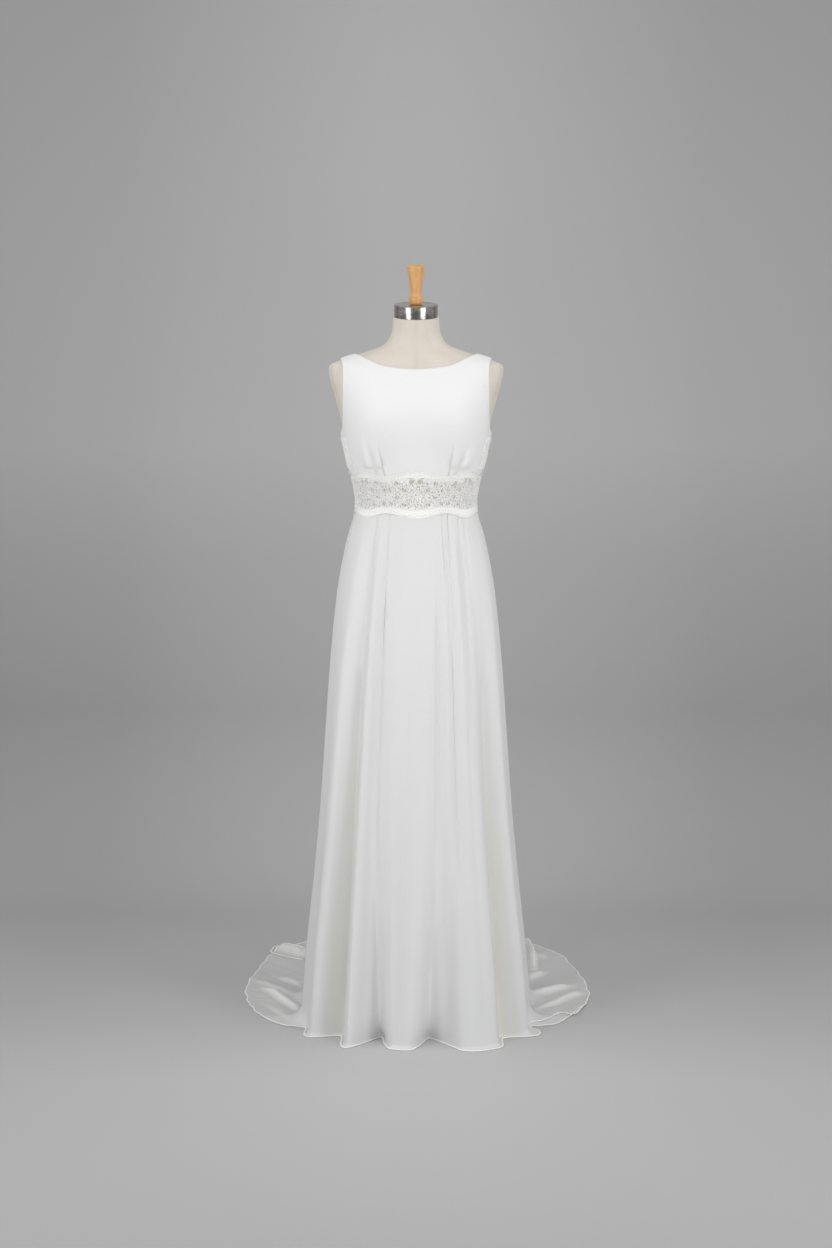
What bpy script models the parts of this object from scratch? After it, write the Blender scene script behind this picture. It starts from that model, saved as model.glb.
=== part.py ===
"""Wedding dress with a sweep train, standing on a limbless dress form.

Metres, +Z up. The dress faces -Y and +X is to the viewer's right. The origin is on the floor,
on the axis of the form's pole. Angles and bearings are measured from the front towards +X.
The cloth is made as walls: each panel is an open surface, its inner face, thickened outwards.
"""
import math

import bmesh
import bpy
import numpy as np
from mathutils import Matrix, Vector

# Walls and clearances
CLOTH_WALL = 0.0015
LACE_WALL = 0.0014
LACE_LIFT = 0.0023
SEAM_GAP = 0.0004
EASE_BODY = 0.0025
EASE_STRAP = 0.0023
EASE_HEIGHTS = (1.40, 1.48)

# Heights of the seams round the waist
GROUND_BOTTOM = 1.1480
GROUND_TOP = 1.2240
PLEATS_RELEASED = 1.128
UNDERARM = 1.317
STRAP_OUTER = 1.4806
STRAP_INNER = 1.4900

# Lace band: scallops and open cells
REPEATS = 7
CELLS_PER_REPEAT = 8
LACE_FIELD = (1.1530, 1.2190)
LACE_FIELD_WAVE = 0.0032
FIELD_ROWS = 4
TOP_EDGE_MEAN = 1.2322
TOP_EDGE_WAVE = 0.0060
BOTTOM_EDGE_MEAN = 1.1365
BOTTOM_EDGE_WAVE = 0.0058

# Skirt foot
FOOT_CURVE_SHARE = 0.6
FOOT_CURVE_RUN = 0.060
DRIFT_POWER = 0.6
HIGH_RELIEF_HEIGHT = 1.02
MIDDLE_RELIEF_HEIGHT = 0.55

# Neck cap, handle and stand
CAP_RADIUS = 0.0488
CAP_HEIGHT = 0.0275
CAP_EDGE = 0.0020
CAP_EDGE_SHARE = 0.3
METAL_GAP = 0.0003
POLE_RADIUS = 0.0125
POLE_FLANGE_RADIUS = 0.040
POLE_FLANGE_HEIGHT = 0.008
BASE_RADIUS = 0.150
BASE_RIM_HEIGHT = 0.009
BASE_RIM_SHARE = 0.97
BASE_EDGE_HEIGHT = 0.0054
BASE_CROWN_HEIGHT = 0.016
BASE_HUB_TOP_RADIUS = 0.021
BASE_HUB_RADIUS = 0.026
BASE_HUB_FOOT_RADIUS = 0.031
BASE_HUB_SHOULDER = 0.029
BASE_HUB_HEIGHT = 0.034

# Faces that meet at more degrees than this are shaded with a sharp edge
SHARP_ANGLE = 40.0
SOFT_FORM_ANGLE = 60.0

COLLECTION_NAME = "wedding_dress_on_dress_form"


class Table:
    """Rows with named columns, read smoothly along the first column and never overshooting."""

    def __init__(self, names, rows):
        self.names = names.split()
        self.rows = np.array(rows, dtype=float)
        self.keys = self.rows[:, 0]
        self.slopes = np.array([self.steady_slopes(column) for column in self.rows.T]).T

    def steady_slopes(self, values):
        """Slopes of a monotone cubic through the rows."""
        gaps = np.diff(self.keys)
        rises = np.diff(values) / gaps
        slopes = np.zeros(len(values))
        slopes[0] = rises[0]
        slopes[-1] = rises[-1]
        for i in range(1, len(values) - 1):
            before, after = rises[i - 1], rises[i]
            if before * after > 0:
                near = 2 * gaps[i] + gaps[i - 1]
                far = gaps[i] + 2 * gaps[i - 1]
                slopes[i] = (near + far) / (near / before + far / after)
        return slopes

    def at(self, key):
        """Every column at this key, as a dictionary."""
        key = min(max(key, self.keys[0]), self.keys[-1])
        i = int(min(np.searchsorted(self.keys, key, side="right"), len(self.keys) - 1)) - 1
        gap = self.keys[i + 1] - self.keys[i]
        t = (key - self.keys[i]) / gap
        low, high = self.rows[i], self.rows[i + 1]
        low_slope, high_slope = self.slopes[i] * gap, self.slopes[i + 1] * gap
        values = (
            low * (2 * t**3 - 3 * t**2 + 1)
            + low_slope * (t**3 - 2 * t**2 + t)
            + high * (3 * t**2 - 2 * t**3)
            + high_slope * (t**3 - t**2)
        )
        return dict(zip(self.names, values))


# The dress form: a row per level, from the open bottom of the torso to the top of the neck.
# Squareness 2 is an ellipse. The neck is set forward and leans forward, by degrees.
FORM = Table("height half_width front back squareness forward lean", (
    (0.7900, 0.1580, 0.1060, 0.1140, 2.20, 0.000, 0),
    (0.8600, 0.1650, 0.1100, 0.1210, 2.20, 0.000, 0),
    (0.9500, 0.1655, 0.1120, 0.1210, 2.20, 0.000, 0),
    (1.0400, 0.1525, 0.1060, 0.1080, 2.20, 0.000, 0),
    (1.1000, 0.1410, 0.1025, 0.0980, 2.20, 0.000, 0),
    (1.1380, 0.1345, 0.1000, 0.0930, 2.20, 0.000, 0),
    (1.1650, 0.1302, 0.0980, 0.0910, 2.20, 0.000, 0),
    (1.1900, 0.1332, 0.0985, 0.0915, 2.20, 0.000, 0),
    (1.2185, 0.1392, 0.1015, 0.0935, 2.20, 0.000, 0),
    (1.2455, 0.1489, 0.1065, 0.0975, 2.25, 0.000, 0),
    (1.2725, 0.1552, 0.1110, 0.1020, 2.30, 0.000, 0),
    (1.3000, 0.1598, 0.1145, 0.1060, 2.35, 0.000, 0),
    (1.3260, 0.1635, 0.1165, 0.1100, 2.40, 0.000, 0),
    (1.3450, 0.1668, 0.1170, 0.1120, 2.40, 0.000, 0),
    (1.3710, 0.1730, 0.1155, 0.1130, 2.40, 0.000, 0),
    (1.3980, 0.1808, 0.1110, 0.1120, 2.40, 0.000, 0),
    (1.4250, 0.1885, 0.1030, 0.1080, 2.40, 0.000, 0),
    (1.4480, 0.1938, 0.0925, 0.1010, 2.35, 0.0000, 0),
    (1.4595, 0.1950, 0.0858, 0.0958, 2.30, 0.0000, 0),
    (1.4670, 0.1925, 0.0808, 0.0915, 2.22, 0.0000, 0),
    (1.4725, 0.1855, 0.0771, 0.0880, 2.18, 0.0000, 0),
    (1.4765, 0.1755, 0.0745, 0.0852, 2.15, 0.0000, 0),
    (1.4815, 0.1645, 0.0712, 0.0815, 2.12, 0.0000, 0),
    (1.4860, 0.1530, 0.0682, 0.0780, 2.10, 0.0000, 0),
    (1.4900, 0.1379, 0.0655, 0.0748, 2.08, 0.0000, 0),
    (1.4928, 0.1255, 0.0636, 0.0722, 2.06, 0.0000, 0),
    (1.4969, 0.1134, 0.0609, 0.0690, 2.05, 0.0000, 0),
    (1.5029, 0.0956, 0.0576, 0.0640, 2.00, 0.0000, 0),
    (1.5084, 0.0823, 0.0553, 0.0602, 2.00, 0.0005, 0),
    (1.5151, 0.0695, 0.0540, 0.0566, 2.00, 0.0015, 1),
    (1.5290, 0.0590, 0.0517, 0.0522, 2.00, 0.0040, 4),
    (1.5430, 0.0540, 0.0503, 0.0503, 2.00, 0.0065, 7),
    (1.5745, 0.0503, 0.0497, 0.0497, 2.00, 0.0122, 10),
))
FORM_COLUMNS = 32
FORM_EXTRA_LEVELS = (1.4880,)

# Soft bust shape of a general figure
BUST_APART = 0.088
BUST_HEIGHT = 1.350
BUST_RISE = 0.030
BUST_SPREAD = 0.052
BUST_ABOVE = 0.060
BUST_BELOW = 0.060
BUST_FULL_FACING = 0.55

# Steps of the readings taken along the form: turn in degrees, length, and number of samples
NORMAL_TURN = 0.6
NORMAL_STEP = 0.0015
FORM_SAMPLES = 1200
CUT_SAMPLES = 120


def cloth_section(height):
    """Half width, front, back and squareness of the cloth's inner face round the waist."""
    section = FORM.at(height)
    sides = [section[name] + EASE_BODY for name in ("half_width", "front", "back")]
    return (*sides, section["squareness"])


# Inner face of the skirt, clear of the folds: a row per level down to the floor
SKIRT = Table("height half_width front back squareness", (
    (0.0000, 0.2541, 0.2750, 0.3650, 2.50),
    (0.1900, 0.2408, 0.2500, 0.3300, 2.45),
    (0.3300, 0.2268, 0.2300, 0.2950, 2.40),
    (0.4900, 0.2131, 0.2075, 0.2550, 2.35),
    (0.6500, 0.2020, 0.1860, 0.2180, 2.30),
    (0.7600, 0.1945, 0.1710, 0.1920, 2.30),
    (0.8700, 0.1854, 0.1550, 0.1650, 2.25),
    (0.9750, 0.1735, 0.1370, 0.1370, 2.20),
    (1.0500, 0.1600, 0.1220, 0.1180, 2.20),
    (1.1000, 0.1480, 0.1110, 0.1050, 2.20),
    (PLEATS_RELEASED, *cloth_section(PLEATS_RELEASED)),
))

# Folds of the skirt, one row per ridge or valley, from the centre-back seam round by the
# viewer's left, the front and the viewer's right. Bearings in degrees at the band, at the foot
# and at the hem's edge; reach of the foot and of the edge from the pole; relief of the fold at
# the high and the middle level; rise of the train over the floor.
FOLDS = Table("line band foot foot_reach edge edge_reach high middle rise", (
    (0, -180, -180, 0.376, -180, 0.822, 0.001, 0.006, 0.008),
    (1, -166, -165, 0.330, -166, 0.800, -0.008, -0.026, 0.000),
    (2, -151, -150, 0.364, -151, 0.712, 0.002, 0.007, 0.012),
    (3, -136, -135, 0.276, -138, 0.574, -0.008, -0.025, 0.000),
    (4, -121, -120, 0.300, -123, 0.478, 0.001, 0.006, 0.010),
    (5, -105, -104, 0.236, -106, 0.400, -0.004, -0.016, 0.000),
    (6, -90, -90, 0.258, -90, 0.347, 0.000, 0.000, 0.000),
    (7, -74, -76, 0.255, -76, 0.305, -0.002, -0.007, 0.000),
    (7.5, -66, -67, 0.256, -68, 0.264, -0.001, -0.002, 0.000),
    (8, -58, -56, 0.279, -56, 0.292, 0.001, 0.005, 0.000),
    (9, -45, -45, 0.220, -45, 0.233, -0.007, -0.026, 0.000),
    (10, -38, -31, 0.285, -31, 0.299, 0.001, 0.004, 0.000),
    (11, -31.5, -23.5, 0.178, -23.5, 0.191, -0.007, -0.020, 0.000),
    (12, -14, -11, 0.259, -11, 0.273, 0.001, 0.002, 0.000),
    (13, 9, -3.5, 0.263, -3.5, 0.277, 0.001, 0.002, 0.000),
    (14, 24, 8.5, 0.172, 8.5, 0.184, -0.003, -0.015, 0.000),
    (15, 29.5, 16.2, 0.227, 16.2, 0.240, 0.001, 0.000, 0.000),
    (16, 35, 20.5, 0.286, 20.5, 0.300, -0.006, -0.005, 0.000),
    (17, 41.5, 27, 0.299, 27, 0.313, 0.001, 0.003, 0.000),
    (18, 49, 35, 0.300, 35, 0.314, -0.006, 0.001, 0.000),
    (19, 64, 46.5, 0.250, 46.5, 0.264, -0.002, -0.021, 0.000),
    (20, 74, 58, 0.288, 60, 0.310, 0.001, 0.004, 0.000),
    (20.5, 78, 65, 0.268, 65.5, 0.298, 0.000, 0.000, 0.000),
    (21, 82, 72, 0.256, 70.5, 0.266, -0.001, -0.006, 0.000),
    (21.5, 86, 80, 0.255, 77, 0.313, -0.001, -0.004, 0.000),
    (22, 90, 90, 0.258, 90, 0.347, 0.000, 0.000, 0.000),
    (23, 105, 104, 0.235, 106, 0.409, -0.004, -0.017, 0.000),
    (24, 121, 120, 0.303, 123, 0.482, 0.001, 0.006, 0.011),
    (25, 136, 135, 0.279, 138, 0.578, -0.008, -0.026, 0.000),
    (26, 151, 150, 0.366, 151, 0.706, 0.002, 0.007, 0.012),
    (27, 166, 165, 0.329, 166, 0.796, -0.008, -0.027, 0.000),
    (28, 180, 180, 0.376, 180, 0.822, 0.001, 0.006, 0.008),
))
LEFT_SEAM_LINE = 6
RIGHT_SEAM_LINE = 22
WIDE_FOLD = 10.0
WIDE_BACK_FOLD = 14.5
RISE_POWER = 0.6
HANG_LEVELS = (
    1.1476, 1.128, 1.105, 1.07, 1.02, 0.95, 0.86, 0.75, 0.62, 0.48, 0.34, 0.20, 0.09,
)
FOOT_CURVE_TURNS = (0.0, 45.0, 90.0)
FRONT_FLOOR_STEPS = (0.5, 1.0)
BACK_FLOOR_STEPS = (0.16, 0.36, 0.58, 0.80, 1.0)

# Outlines of the bodice, as level and distance from the centre line of each corner of the
# cut. FORM_SIDE stands for the form's own half width at that level.
FORM_SIDE = None
NECKLINE_FRONT = (
    (STRAP_INNER, FORM_SIDE), (1.4865, 0.1260), (1.4805, 0.1130), (1.4735, 0.0990),
    (1.4632, 0.0735), (1.4585, 0.0443), (1.4564, 0.0200), (1.4558, 0.0),
)
NECKLINE_BACK = (
    (STRAP_INNER, FORM_SIDE), (1.4868, 0.1260), (1.4808, 0.1130), (1.4725, 0.0970),
    (1.4630, 0.0720), (1.4565, 0.0440), (1.4535, 0.0200), (1.4525, 0.0),
)
ARMHOLE_FRONT = (
    (UNDERARM, FORM_SIDE), (1.3330, 0.1590), (1.3600, 0.1575), (1.4000, 0.1572),
    (1.4400, 0.1575), (1.4600, 0.1590), (1.4730, 0.1620), (STRAP_OUTER, FORM_SIDE),
)
ARMHOLE_BACK = (
    (UNDERARM, FORM_SIDE), (1.3330, 0.1600), (1.3600, 0.1600), (1.4000, 0.1605),
    (1.4400, 0.1610), (1.4600, 0.1620), (1.4730, 0.1640), (STRAP_OUTER, FORM_SIDE),
)
SIDE_LEVELS = (GROUND_TOP + SEAM_GAP, 1.2395, 1.2540, 1.2730, 1.2945, UNDERARM)
SIDE_SHARE = 0.36
STRAP_SHARE = 0.10
ARMHOLE_ROWS = (0, 0.15, 0.30, 0.45, 0.60, 0.72, 0.82, 0.89, 0.945, 1)

# Tucks under the bust: share of the way round the front, rise and half-width of the share
TUCKS = ((0.220, 0.0055), (0.318, 0.0050), (0.699, 0.0050), (0.806, 0.0055))
TUCK_HALF_SHARE = 0.022
TUCK_START = (1.2395, 1.2540)
TUCK_END = (1.2540, 1.3150)
FRONT_SHARES = (0, 0.05, 0.10, 0.155, 0.268, 0.38, 0.44, 0.50, 0.56, 0.63, 0.752, 0.87, 0.90, 0.95, 1)
BACK_SHARES = (0, 0.09, 0.18, 0.27, 0.37, 0.47, 0.57, 0.68, 0.80, 0.90, 1)
UNDERARM_FLARE = 0.0030
FLARE_ANGLE = 16.0
FLARE_REACH = 0.035

# Open cells of one lace repeat, left half: column, row, half width and half height as a share
# of the cell, turn in degrees, and shift across and up. The right half mirrors it.
LACE_GAPS = (
    (0, 0, 0.30, 0.32, 10, 0.04, 0.03),
    (0, 2, 0.26, 0.36, -8, -0.03, 0.02),
    (1, 1, 0.34, 0.26, 14, 0.02, 0.00),
    (1, 3, 0.28, 0.34, -12, 0.00, -0.02),
    (2, 0, 0.34, 0.24, -10, 0.00, 0.04),
    (2, 2, 0.32, 0.30, 12, 0.02, -0.02),
    (3, 3, 0.28, 0.32, -14, 0.02, 0.00),
)

# Turned outline of the wooden handle: height above the cap and radius, top to bottom
HANDLE_OUTLINE = (
    (0.0885, 0.0000), (0.0880, 0.0120), (0.0868, 0.0175), (0.0845, 0.0199), (0.0810, 0.0200),
    (0.0730, 0.0184), (0.0580, 0.0160), (0.0430, 0.0140), (0.0320, 0.0125), (0.0240, 0.0116),
    (0.0195, 0.0120), (0.0165, 0.0144), (0.0120, 0.0165), (0.0070, 0.0165), (0.0020, 0.0150),
    (0.0000, 0.0142), (0.0000, 0.0000),
)
TURNED_STEPS = 20
WIDE_TURN_STEPS = 32


# Small helpers

def signed_power(value, power):
    return math.copysign(abs(value) ** power, value)


def ease_in_out(share):
    share = min(max(share, 0.0), 1.0)
    return share * share * (3 - 2 * share)


def blend(low, high, share):
    return low + (high - low) * share


def make_material(name, color, roughness, metallic=0.0):
    material = bpy.data.materials.new(name)
    material.use_nodes = True
    shader = material.node_tree.nodes["Principled BSDF"]
    shader.inputs["Base Color"].default_value = (*color, 1.0)
    shader.inputs["Roughness"].default_value = roughness
    shader.inputs["Metallic"].default_value = metallic
    material.diffuse_color = (*color, 1.0)
    return material


def add_object(name, mesh, collection, material, sharp=SHARP_ANGLE):
    part = bpy.data.objects.new(name, mesh)
    collection.objects.link(part)
    mesh.materials.append(material)
    mesh.shade_smooth()
    mesh.set_sharp_from_angle(angle=math.radians(sharp))
    return part


def mesh_from_bmesh(name, bm):
    mesh = bpy.data.meshes.new(name)
    bm.to_mesh(mesh)
    bm.free()
    return mesh


def add_wall(part, thickness):
    """Thicken an open surface outwards, leaving its own points as the inner face."""
    wall = part.modifiers.new("wall", "SOLIDIFY")
    wall.thickness = thickness
    wall.offset = 1.0
    wall.use_rim = True
    wall.use_quality_normals = True


def add_turned(name, outline, collection, material, steps=TURNED_STEPS):
    """Turn an outline of heights and radii, listed from the top down, about its own Z axis."""
    bm = bmesh.new()
    verts = [bm.verts.new((radius, 0.0, height)) for height, radius in outline]
    for upper, lower in zip(verts, verts[1:]):
        bm.edges.new((upper, lower))
    part = add_object(name, mesh_from_bmesh(name, bm), collection, material)
    screw = part.modifiers.new("turn", "SCREW")
    screw.axis = "Z"
    screw.angle = math.tau
    screw.steps = steps
    screw.render_steps = steps
    screw.use_merge_vertices = True
    screw.merge_threshold = 0.00005
    screw.use_smooth_shade = True
    return part


# The dress form's surface

def bust_rise(across, height, facing):
    """Forward swell of the bust at a point of the front."""
    spread = BUST_ABOVE if height > BUST_HEIGHT else BUST_BELOW
    level = math.exp(-((height - BUST_HEIGHT) / spread) ** 2 / 2)
    sides = sum(
        math.exp(-((across - side * BUST_APART) / BUST_SPREAD) ** 2 / 2) for side in (-1, 1)
    )
    return BUST_RISE * level * sides * ease_in_out(facing / BUST_FULL_FACING)


def form_point(angle, height):
    """Point of the dress form at an angle in degrees and a level."""
    section = FORM.at(height)
    turn = math.radians(angle)
    power = 2 / section["squareness"]
    depth = section["front"] if math.cos(turn) > 0 else section["back"]
    across = section["half_width"] * signed_power(math.sin(turn), power)
    along = -depth * signed_power(math.cos(turn), power)
    along -= bust_rise(across, height, math.cos(turn))
    lean = math.radians(section["lean"])
    return Vector((
        across,
        along * math.cos(lean) - section["forward"],
        height + along * math.sin(lean),
    ))


# Length along the side outline of the form, which opens up the flat top of the shoulders
OUTLINE_HEIGHTS = np.linspace(FORM.keys[0], FORM.keys[-1], FORM_SAMPLES)
OUTLINE_WIDTHS = np.array([FORM.at(height)["half_width"] for height in OUTLINE_HEIGHTS])
OUTLINE_LENGTHS = np.concatenate((
    [0.0], np.cumsum(np.hypot(np.diff(OUTLINE_HEIGHTS), np.diff(OUTLINE_WIDTHS))),
))


def length_at(height):
    return float(np.interp(height, OUTLINE_HEIGHTS, OUTLINE_LENGTHS))


def height_at(length):
    return float(np.interp(length, OUTLINE_LENGTHS, OUTLINE_HEIGHTS))


def form_normal(angle, height):
    length = length_at(height)
    around = form_point(angle + NORMAL_TURN, height) - form_point(angle - NORMAL_TURN, height)
    above = form_point(angle, height_at(length + NORMAL_STEP))
    below = form_point(angle, height_at(length - NORMAL_STEP))
    return around.cross(above - below).normalized()


def cloth_point(angle, height, lift=0.0):
    """Point of the cloth's inner face over the form, lifted further by a relief."""
    low, high = EASE_HEIGHTS
    ease = blend(EASE_BODY, EASE_STRAP, ease_in_out((height - low) / (high - low)))
    return form_point(angle, height) + form_normal(angle, height) * (ease + lift)


def make_form_torso(collection, material):
    levels = sorted(set(FORM.keys) | set(FORM_EXTRA_LEVELS))
    bm = bmesh.new()
    rings = []
    for height in levels:
        angles = [360.0 * i / FORM_COLUMNS for i in range(FORM_COLUMNS)]
        rings.append([bm.verts.new(form_point(angle - 180.0, height)) for angle in angles])
    for lower, upper in zip(rings, rings[1:]):
        for i in range(FORM_COLUMNS):
            j = (i + 1) % FORM_COLUMNS
            bm.faces.new((lower[i], lower[j], upper[j], upper[i]))
    bm.faces.new(rings[0][::-1])
    bm.faces.new(rings[-1])
    mesh = mesh_from_bmesh("form_torso", bm)
    return add_object("form_torso", mesh, collection, material, sharp=SOFT_FORM_ANGLE)


# Panels made from a grid of points

def part_seams(grid):
    """Draw the first and last columns in, so that neighbours keep the seam gap."""
    for edge, inner in ((0, 1), (-1, -2)):
        for row, point in enumerate(grid[edge]):
            inward = (grid[inner][row] - point).normalized()
            grid[edge][row] = point + inward * SEAM_GAP / 2
    return grid


def panel_object(name, grid, collection, material, thickness=CLOTH_WALL):
    """Wall through a grid of points: columns in order of angle, each from the bottom up."""
    bm = bmesh.new()
    verts = [[bm.verts.new(point) for point in column] for column in grid]
    for near, far in zip(verts, verts[1:]):
        for row in range(len(near) - 1):
            bm.faces.new((near[row], far[row], far[row + 1], near[row + 1]))
    part = add_object(name, mesh_from_bmesh(name, bm), collection, material)
    add_wall(part, thickness)
    return part


# Bodice: each panel fills the outline of its cut as seen from the front or the back

def angle_over(across, height):
    """Angle on the form, from its own centre line, that lies over this point of the cut."""
    section = FORM.at(height)
    share = min(abs(across) / section["half_width"], 1.0)
    return math.degrees(math.asin(share ** (section["squareness"] / 2)))


def outline_reader(rows):
    """Curve through rows of level and distance from the centre, read by its share of length."""
    corners = []
    for i, (height, across) in enumerate(rows):
        corners.append((i, FORM.at(height)["half_width"] if across is None else across, height))
    table = Table("row across height", corners)
    keys = np.linspace(0, len(rows) - 1, CUT_SAMPLES)
    path = [table.at(key) for key in keys]
    points = [form_point(angle_over(p["across"], p["height"]), p["height"]) for p in path]
    steps = [(after - before).length for before, after in zip(points, points[1:])]
    lengths = np.concatenate(([0.0], np.cumsum(steps))) / sum(steps)

    def read(share):
        row = table.at(float(np.interp(share, lengths, keys)))
        return np.array((row["across"], row["height"]))

    return read


def bodice_outline(neckline_rows, armhole_rows):
    """The four curves round half a panel, each as distance from the centre line and level."""
    neckline = outline_reader(neckline_rows)
    armhole = outline_reader(armhole_rows)
    waist_level = SIDE_LEVELS[0]
    waist_half = FORM.at(waist_level)["half_width"]

    def bottom(share):
        return np.array((waist_half * math.cos(math.radians(90.0 * share)), waist_level))

    def side(share):
        if share < SIDE_SHARE:
            level = np.interp(share / SIDE_SHARE, np.linspace(0, 1, len(SIDE_LEVELS)), SIDE_LEVELS)
            return np.array((FORM.at(level)["half_width"], level))
        return armhole((share - SIDE_SHARE) / (1 - SIDE_SHARE))

    def top(share):
        strap = 2 * STRAP_SHARE
        if share < strap:
            level = blend(STRAP_OUTER, STRAP_INNER, share / strap)
            return np.array((FORM.at(level)["half_width"], level))
        return neckline((share - strap) / (1 - strap))

    def centre(share):
        if share < SIDE_SHARE:
            level = side(share)[1]
        else:
            rest = (share - SIDE_SHARE) / (1 - SIDE_SHARE)
            level = blend(UNDERARM, neckline(1.0)[1], rest)
        return np.array((0.0, level))

    return bottom, side, top, centre


def fill_outline(outline, across, up):
    """Point inside four curves: side to centre is across, waist to neck is up."""
    bottom, side, top, centre = outline
    corners = (
        (1 - across) * (1 - up) * bottom(0.0) + across * (1 - up) * bottom(1.0)
        + (1 - across) * up * top(0.0) + across * up * top(1.0)
    )
    return (
        (1 - up) * bottom(across) + up * top(across)
        + (1 - across) * side(up) + across * centre(up) - corners
    )


def tuck_lift(share, height):
    """Rise of the tucks of the front panel, which start above the lace and fade upwards."""
    starting = ease_in_out((height - TUCK_START[0]) / (TUCK_START[1] - TUCK_START[0]))
    ending = 1 - ease_in_out((height - TUCK_END[0]) / (TUCK_END[1] - TUCK_END[0]))
    lift = 0.0
    for place, rise in TUCKS:
        near = 1 - abs(share - place) / TUCK_HALF_SHARE
        lift += rise * max(near, 0.0) * starting * ending
    return lift


def flare_lift(angle, height):
    """Slight stand-off of the cloth at the underarm corner."""
    sideways = max(0.0, 1 - abs(abs(angle) - 90.0) / FLARE_ANGLE)
    level = max(0.0, 1 - abs(height - UNDERARM) / FLARE_REACH)
    return UNDERARM_FLARE * sideways * level


def bodice_column(outline, across, side_sign, facing_back, tuck_share):
    column = []
    steps = len(SIDE_LEVELS) - 1
    rows = [SIDE_SHARE * i / steps for i in range(steps)]
    rows += [blend(SIDE_SHARE, 1.0, row) for row in ARMHOLE_ROWS]
    for up in rows:
        over, height = fill_outline(outline, across, up)
        angle = angle_over(over, height)
        lift = flare_lift(angle, height)
        if tuck_share is not None:
            lift += tuck_lift(tuck_share, height)
        turn = side_sign * (180.0 - angle if facing_back else angle)
        column.append(cloth_point(turn, height, lift))
    return column


def make_bodice_front(collection, material):
    outline = bodice_outline(NECKLINE_FRONT, ARMHOLE_FRONT)
    shares = set(FRONT_SHARES)
    for place, _ in TUCKS:
        shares |= {place - TUCK_HALF_SHARE, place, place + TUCK_HALF_SHARE}
    grid = []
    for share in sorted(shares):
        side_sign = -1 if share < 0.5 else 1
        across = 1 - abs(share - 0.5) * 2
        grid.append(bodice_column(outline, across, side_sign, False, share))
    return panel_object("bodice_front", part_seams(grid), collection, material)


def make_bodice_back(name, side_sign, collection, material):
    outline = bodice_outline(NECKLINE_BACK, ARMHOLE_BACK)
    shares = BACK_SHARES if side_sign > 0 else BACK_SHARES[::-1]
    grid = [bodice_column(outline, share, side_sign, True, None) for share in shares]
    return panel_object(name, part_seams(grid), collection, material)


# Waist band: a plain nude ground, and the lace that lies on it

def band_angles(first_cell, last_cell):
    step = 360.0 / (REPEATS * CELLS_PER_REPEAT)
    return [step * cell for cell in range(first_cell, last_cell + 1)]


def make_ground(name, cells, collection, material):
    inner = [blend(*LACE_FIELD, i / FIELD_ROWS) for i in range(1, FIELD_ROWS)]
    levels = [GROUND_BOTTOM, *inner, GROUND_TOP]
    angles = band_angles(*cells)[::2]
    grid = [[cloth_point(angle, level) for level in levels] for angle in angles]
    return panel_object(name, part_seams(grid), collection, material)


def lace_levels(angle):
    """Levels of the lace's grid lines at an angle, between its two scalloped edges."""
    wave = math.cos(math.radians(REPEATS * angle))
    low, high = LACE_FIELD[0] - LACE_FIELD_WAVE * wave, LACE_FIELD[1] + LACE_FIELD_WAVE * wave
    field = [blend(low, high, i / FIELD_ROWS) for i in range(FIELD_ROWS + 1)]
    bottom = BOTTOM_EDGE_MEAN - BOTTOM_EDGE_WAVE * wave
    return [bottom, *field, TOP_EDGE_MEAN + TOP_EDGE_WAVE * wave]


def lace_gap(cell, row):
    """Outline of the open gap in a cell as shares of the cell, or None where it is closed."""
    column = (cell + CELLS_PER_REPEAT // 2) % CELLS_PER_REPEAT
    mirrored = column >= CELLS_PER_REPEAT // 2
    own_column = CELLS_PER_REPEAT - 1 - column if mirrored else column
    for gap_column, gap_row, half_width, half_height, turn, over, up in LACE_GAPS:
        if (gap_column, gap_row) != (own_column, row):
            continue
        sign = -1 if mirrored else 1
        angle = math.radians(turn * sign)
        corners = []
        for x, y in ((-1, -1), (1, -1), (1, 1), (-1, 1)):
            x, y = x * half_width, y * half_height
            corners.append((
                0.5 + over * sign + x * math.cos(angle) - y * math.sin(angle),
                0.5 + up + x * math.sin(angle) + y * math.cos(angle),
            ))
        return corners
    return None


def make_lace(name, cells, collection, material):
    angles = band_angles(*cells)
    grid = part_seams([
        [cloth_point(angle, level, LACE_LIFT) for level in lace_levels(angle)]
        for angle in angles
    ])
    bm = bmesh.new()
    verts = [[bm.verts.new(point) for point in column] for column in grid]
    for i, cell in enumerate(range(*cells)):
        for row in range(FIELD_ROWS + 2):
            ring = (verts[i][row], verts[i + 1][row], verts[i + 1][row + 1], verts[i][row + 1])
            gap = lace_gap(cell, row - 1) if 0 < row <= FIELD_ROWS else None
            if gap is None:
                bm.faces.new(ring)
                continue
            low, high = lace_levels(angles[i])[row], lace_levels(angles[i])[row + 1]
            inner = [
                bm.verts.new(cloth_point(
                    blend(angles[i], angles[i + 1], x), blend(low, high, y), LACE_LIFT,
                ))
                for x, y in gap
            ]
            for k in range(4):
                bm.faces.new((ring[k], ring[(k + 1) % 4], inner[(k + 1) % 4], inner[k]))
    part = add_object(name, mesh_from_bmesh(name, bm), collection, material)
    add_wall(part, LACE_WALL)
    return part


# Skirt and train

def section_reach(bearing, height):
    """Distance from the pole to the skirt's plain section, on a bearing."""
    if height > PLEATS_RELEASED:
        half_width, front, back, power = cloth_section(height)
    else:
        half_width, front, back, power = (SKIRT.at(height)[name] for name in SKIRT.names[1:])
    turn = math.radians(bearing)
    across = abs(math.sin(turn)) / half_width
    along = abs(math.cos(turn)) / (front if math.cos(turn) > 0 else back)
    return (across**power + along**power) ** (-1 / power)


def at_bearing(bearing, reach, height):
    turn = math.radians(bearing)
    return Vector((reach * math.sin(turn), -reach * math.cos(turn), height))


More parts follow.
